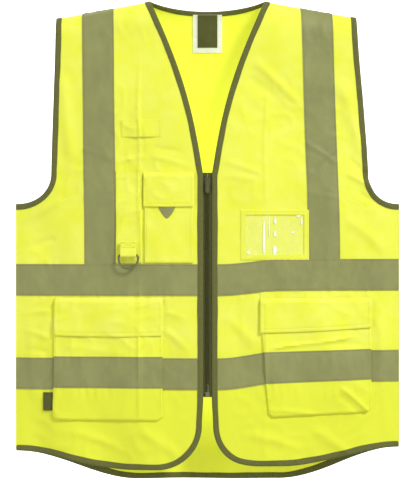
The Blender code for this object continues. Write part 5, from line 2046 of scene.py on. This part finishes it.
@dataclass
class RingHanger(Assembly):
    """Ring on a webbing loop, sewn to the pen pocket."""

    x0: float = -142.5 * MM
    x1: float = -101.5 * MM
    bar: Pair = (11.15 * MM, -398.5 * MM)
    wire: float = 1.7 * MM
    webbing: float = 25 * MM
    thick: float = 1.1 * MM
    level: float = -269 * MM

    def __post_init__(self) -> None:
        """Find the flat working plane of the pen pocket."""
        form = self.form
        a, b = (
            form.base(x, form.run_at(x, self.level), Side.FRONT) for x in (self.x0, self.x1)
        )
        self.across = unit(b - a)
        self.out = np.cross(self.across, (0.0, 0.0, 1.0))
        self.centre = (a + b) / 2 * (1, 1, 0)

    def at(self, u: Number, v: Number, w: Number) -> Array:
        """Point at width u, height v and distance w out."""
        u, v, w = np.broadcast_arrays(np.asarray(u, float), v, w)
        return (
            self.centre + self.across * u[..., None] + self.out * w[..., None]
            + np.array((0.0, 0.0, 1.0)) * v[..., None]
        )

    def loop(self) -> Piece:
        """Build the folded webbing."""
        w, v = self.bar
        bore = self.wire + 0.55 * MM
        angle = np.radians(np.linspace(180, 360, 19))
        inner = [(w - bore, -376.5 * MM)]
        inner += [(w + bore * math.cos(a), v + bore * math.sin(a)) for a in angle]
        inner += [
            (w + bore * 0.7, v + 7 * MM), (w - bore + 1.6 * MM, -379 * MM),
            (w - bore + 0.3 * MM, -376.8 * MM),
        ]
        path = even(np.array(inner), 60)
        step = unit(np.gradient(path, axis=0))
        outer = path + np.stack([-step[:, 1], step[:, 0]], -1) * -self.thick
        u = np.linspace(-self.webbing / 2, self.webbing / 2, 26)
        grid_u = np.broadcast_to(u, (len(path), len(u)))
        edge = 1 - 0.35 * np.exp(-(self.webbing / 2 - np.abs(grid_u)) / (0.7 * MM))
        near = self.at(grid_u, path[:, 1:2], path[:, :1])
        full = self.at(grid_u, outer[:, 1:2], outer[:, :1])
        return slab("ring_webbing_loop", near, near + (full - near) * edge[..., None])

    def ring(self) -> Piece:
        """Build the D ring."""
        half, drop, bend = 15 * MM, 20.5 * MM, 3 * MM
        corner = [
            (half - bend + bend * math.cos(a), -bend + bend * math.sin(a))
            for a in np.linspace(math.pi / 2, 0, 9)
        ]
        bowl = [
            (half * math.cos(a), -6 * MM - (drop - 6 * MM) * math.sin(a))
            for a in np.linspace(0, math.pi, 49)
        ]
        path = np.array(corner + bowl + [(-u, v) for u, v in reversed(corner)])
        path = even(np.concatenate([path, path[:1]]), 140)[:-1]
        step = unit(np.roll(path, -1, 0) - np.roll(path, 1, 0))
        side = np.stack([step[:, 1], -step[:, 0]], -1)
        angle = turns(16)
        flat = self.wire * (1 + 0.06 * np.cos(angle * 2))
        u = path[:, :1] + side[:, :1] * flat * np.cos(angle)
        v = path[:, 1:] + side[:, 1:] * flat * np.cos(angle)
        w = self.bar[0] + flat * np.sin(angle)
        rings = self.at(u, self.bar[1] + v, np.broadcast_to(w, u.shape))
        return tidy_normals(sweep("d_ring_moulding", rings, closed=True))

    def build(self) -> None:
        """Build the webbing, its stitching and the ring."""
        self.fit(self.loop(), YELLOW, FABRIC, stands_for=["ring_webbing"])
        self.fit(self.ring(), PLASTIC, "moulded_olive", Rider.RING, ["d_ring"])
        stitches = Stitches(height=0.45 * MM, width=0.55 * MM)
        w = self.bar[0] - self.wire + 2.2 * MM
        for v0, v1, u0, u1 in (
            (-378, -378, -11, 11), (-386, -386, -11, 11), (-378, -386, -11, -11),
            (-378, -386, 11, 11), (-378, -386, -11, 11), (-386, -378, -11, 11),
        ):
            t = np.linspace(0, 1, 24)
            v = (v0 + (v1 - v0) * t) * MM
            u = (u0 + (u1 - u0) * t) * MM
            lift = w + (-376 * MM - v) * 0.115 + 0.35 * MM
            normal = np.broadcast_to(self.out, (24, 3))
            stitches.row(self.at(u, v, lift), normal)
        self.fit(stitches.make("ring_webbing_stitching"), YELLOW_THREAD, FABRIC)


@dataclass
class BadgePocket(Assembly):
    """Bound frame with a clear window on the left chest."""

    x0: float = 51 * MM
    x1: float = 158 * MM
    top: float = -328 * MM
    bottom: float = -406 * MM
    border: float = 7.6 * MM

    def frame_cloth(self) -> Piece:
        """Build the folded frame as one closed ring."""
        section = np.array(
            [
                (0.0, 0.95), (0.15, 1.7), (1.2, 2.15), (2.4, 1.95), (5.0, 2.35),
                (7.4, 2.3), (8.3, 1.9), (8.5, 1.3), (8.5, 1.0),
            ]
        ) * MM
        corners = oblong(self.x0, self.x1, self.bottom, self.top)
        rings = []
        for k in range(4):
            a, b = np.array(corners[k]), np.array(corners[(k + 1) % 4])
            step = unit(b - a)
            side = np.array([-step[1], step[0]])
            count = 34 if k % 2 == 0 else 26
            for t in np.linspace(0, 1, count)[:-1]:
                d = section[:, 0]
                near = np.minimum(t, 1 - t) * np.linalg.norm(b - a)
                pull = np.maximum(0.0, d - near)
                point = a + (b - a) * t + side * d[:, None]
                point = point + step * (pull if t < 0.5 else -pull)[:, None]
                rings.append(np.concatenate([point, section[:, 1:]], 1))
        grid = np.array(rings)
        points = self.form.place_z(grid[..., 0], grid[..., 1], Side.FRONT, grid[..., 2])
        return tidy_normals(sweep("badge_pocket_border", points, closed=True))

    def window(self) -> Piece:
        """Build the wavy clear film."""
        inset = self.border - 1.2 * MM
        z, x = lattice(
            np.linspace(self.top - inset, self.bottom + inset, 40),
            np.linspace(self.x0 + inset, self.x1 - inset, 54),
        )
        near = np.minimum(
            np.minimum(x - x.min(), x.max() - x), np.minimum(z - z.min(), z.max() - z)
        )
        buckle = Waves(301, 26 * MM, lean=0.35).at(x, z) * 0.8 + 0.5
        low = 1.35 * MM + 0.8 * MM * buckle * ease(near / (10 * MM))
        return front_slab(self.form, "badge_pocket_film", x, z, low, 0.3 * MM)

    def build(self) -> None:
        """Build the badge pocket."""
        self.fit(
            self.frame_cloth(), YELLOW, FABRIC, stands_for=["badge_pocket_frame"]
        )
        self.fit(
            self.window(), VINYL, "clear_vinyl", stands_for=["badge_pocket_window"],
            flat=(0.093, 0.065), held="stretched", rests_on=["badge_pocket_border"],
        )
        stitches = Stitches()
        for inset, lift in ((2.4 * MM, 2.0 * MM), (7.0 * MM, 2.3 * MM)):
            corners = oblong(
                self.x0 + inset, self.x1 - inset, self.bottom + inset, self.top - inset
            )
            for a, b in zip(corners, corners[1:] + corners[:1]):
                t = np.linspace(0, 1, 60)
                self.seam(
                    stitches, a[0] + (b[0] - a[0]) * t, a[1] + (b[1] - a[1]) * t, Side.FRONT, lift
                )
        self.fit(stitches.make("badge_pocket_stitching"), YELLOW_THREAD, FABRIC)


@dataclass
class Labels(Assembly):
    """Neck labels and the tag on the right lower pocket."""

    def hanging(
        self, node: str, size: Pair, off: float, finish: Finish, slot: str
    ) -> None:
        """Build a label that hangs inside the back neck."""
        form = self.form
        start = form.back_neck_run + 5 * MM
        v, u = lattice(np.linspace(0, 1, 30), np.linspace(-0.5, 0.5, 24))
        x, run = u * size[0], start + v * (size[1] + 3 * MM)
        curl = 1.2 * MM * np.sin(v * 2.4) * (1 + 0.5 * np.cos(u * 7))
        lift = -off - curl
        obj = slab(
            f"{node}_cloth",
            form.place(x, run, Side.BACK, lift - 0.3 * MM),
            form.place(x, run, Side.BACK, lift),
        )
        self.fit(obj, finish, slot, stands_for=[node], flat=size, rests_on=["back_neck_tape"])

    def tag(self) -> None:
        """Build the small folded tag beside the pocket."""
        x1 = -241.6 * MM
        v, u = lattice(np.linspace(0, 1, 22), np.linspace(0, 1, 16))
        x, z = x1 - 15 * MM * u, -612.8 * MM - 28.5 * MM * v
        low = 0.9 * MM + 1.6 * MM * np.sin(u * 2.2)
        obj = front_slab(self.form, "side_tag_cloth", x, z, low, CLOTH)
        self.fit(
            obj, GREEN, "green_label", stands_for=["side_tag"], flat=(0.015, 0.0285),
            held="stretched", rests_on=["right_lower_bag"],
        )
        stitches = Stitches()
        line = np.linspace(-614 * MM, -640 * MM, 16)
        self.seam(stitches, np.full_like(line, x1 - 2 * MM), line, Side.FRONT, 2.3 * MM)
        self.fit(stitches.make("side_tag_stitching"), OLIVE_THREAD, "green_label")

    def build(self) -> None:
        """Build all labels."""
        self.hanging("care_label", (46 * MM, 58 * MM), 1.2 * MM, WHITE, "white_label")
        self.hanging("size_label", (31 * MM, 50 * MM), 2.4 * MM, GREEN, "green_label")
        self.tag()


# --- studio
@dataclass
class Studio:
    """Pale floor and backdrop, soft lights and the camera."""

    floor_z: float = -1.15
    middle: float = -0.38
    distance: float = 3.6
    lens: float = 171.8
    aim: Pair = (0.8 * MM, -375.5 * MM)
    ambient: float = 0.62
    key: float = 690.0
    fill: float = 14.0
    back_key: float = 720.0
    dome: float = 12.0

    def light(self, name: str, place: Colour, size: float, power: float) -> None:
        """Add one area light aimed at the vest."""
        data = bpy.data.lights.new(name, "AREA")
        data.shape, data.size, data.energy = "DISK", size, power
        obj = bpy.data.objects.new(name, data)
        obj.location = place
        aim = Vector((0, 0, self.middle)) - Vector(place)
        obj.rotation_euler = aim.to_track_quat("-Z", "Y").to_euler()
        bpy.context.scene.collection.objects.link(obj)

    def build(self) -> None:
        """Build the studio."""
        scene = bpy.context.scene
        scene.view_settings.view_transform = "Standard"
        world = bpy.data.worlds.new("studio")
        world.use_nodes = True
        back = world.node_tree.nodes["Background"]
        back.inputs[0].default_value = (1.0, 1.0, 1.0, 1.0)
        back.inputs[1].default_value = self.ambient
        scene.world = world
        self.light("key", (5.4, -6.4, 5.6), 2.6, self.key)
        self.light("fill", (-2.4, -2.4, 0.1), 1.8, self.fill)
        self.light("back_key", (-5.4, 6.4, 5.6), 2.6, self.back_key)
        self.floor()
        self.backdrop()
        camera = bpy.data.objects.new("camera", bpy.data.cameras.new("camera"))
        camera.data.lens, camera.data.sensor_width = self.lens, 36.0
        camera.location = (self.aim[0], -self.distance, self.aim[1])
        camera.rotation_euler = (math.pi / 2, 0.0, 0.0)
        scene.collection.objects.link(camera)
        scene.camera = camera

    def paper(self, obj: Piece, name: str, glow: float) -> None:
        """Give a stage piece its white paper."""
        paper = bpy.data.materials.new(name)
        paper.use_nodes = True
        shader = paper.node_tree.nodes["Principled BSDF"]
        shader.inputs["Base Color"].default_value = (0.92, 0.92, 0.92, 1.0)
        shader.inputs["Roughness"].default_value = 0.9
        shader.inputs["Emission Color"].default_value = (1.0, 1.0, 1.0, 1.0)
        shader.inputs["Emission Strength"].default_value = glow
        obj.data.materials.append(paper)

    def floor(self) -> None:
        """Build the pale floor."""
        angle = turns(64)
        reach = self.dome * 0.99
        level = np.full_like(angle, self.floor_z)
        points = np.stack([reach * np.cos(angle), reach * np.sin(angle), level], -1)
        floor = mesh_object("studio_floor", points, [list(range(64))])
        self.paper(floor, "studio_floor_paper", 0.8)
        floor.visible_diffuse = False

    def backdrop(self) -> None:
        """Build the white dome that stands behind the vest from every side."""
        lat, lon = lattice(
            np.linspace(-0.5, 0.5, 33) * math.pi * 0.998, np.linspace(0, 2 * math.pi, 65)
        )
        points = self.dome * np.stack(
            [np.cos(lat) * np.cos(lon), np.cos(lat) * np.sin(lon), np.sin(lat)], -1
        )
        dome = mesh_object("studio_dome", points, grid_faces(33, 65))
        self.paper(dome, "studio_dome_paper", 1.0)
        dome.visible_diffuse = dome.visible_glossy = dome.visible_shadow = False
        dome.visible_transmission = False


def main() -> None:
    """Build every sub-assembly in order."""
    logging.basicConfig(level=logging.INFO, format="%(name)s %(message)s")
    form = Form()
    Studio().build()
    Panels(form).build()
    Bindings(form).build()
    Tapes(form).build()
    ZipClosure(form).build()
    ChestPockets(form).build()
    RingHanger(form).build()
    BadgePocket(form).build()
    LowerPocket(form).build()
    LowerPocket(
        form,
        prefix="left",
        centre=169.5 * MM,
        skew=12 * MM,
        heading=9 * MM,
        tilt=8 * MM,
        bottom=-652 * MM,
        flap_bottom=-520.5 * MM,
        trim=-0.5 * MM,
        band_rise=9.5 * MM,
        creases=in_mm(
            Crease,
            (88, -546, 236, -528, 2.8, 3.4), (120, -536, 250, -541, 4.5, -1.2),
            (200, -606, 262, -662, 3.4, 3.6), (196, -618, 246, -664, 4.0, -1.2),
            (96, -640, 170, -652, 4.0, 1.4),
        ),
        rider=Rider.LEFT_FLAP,
    ).build()
    Labels(form).build()


if __name__ == "__main__":
    main()
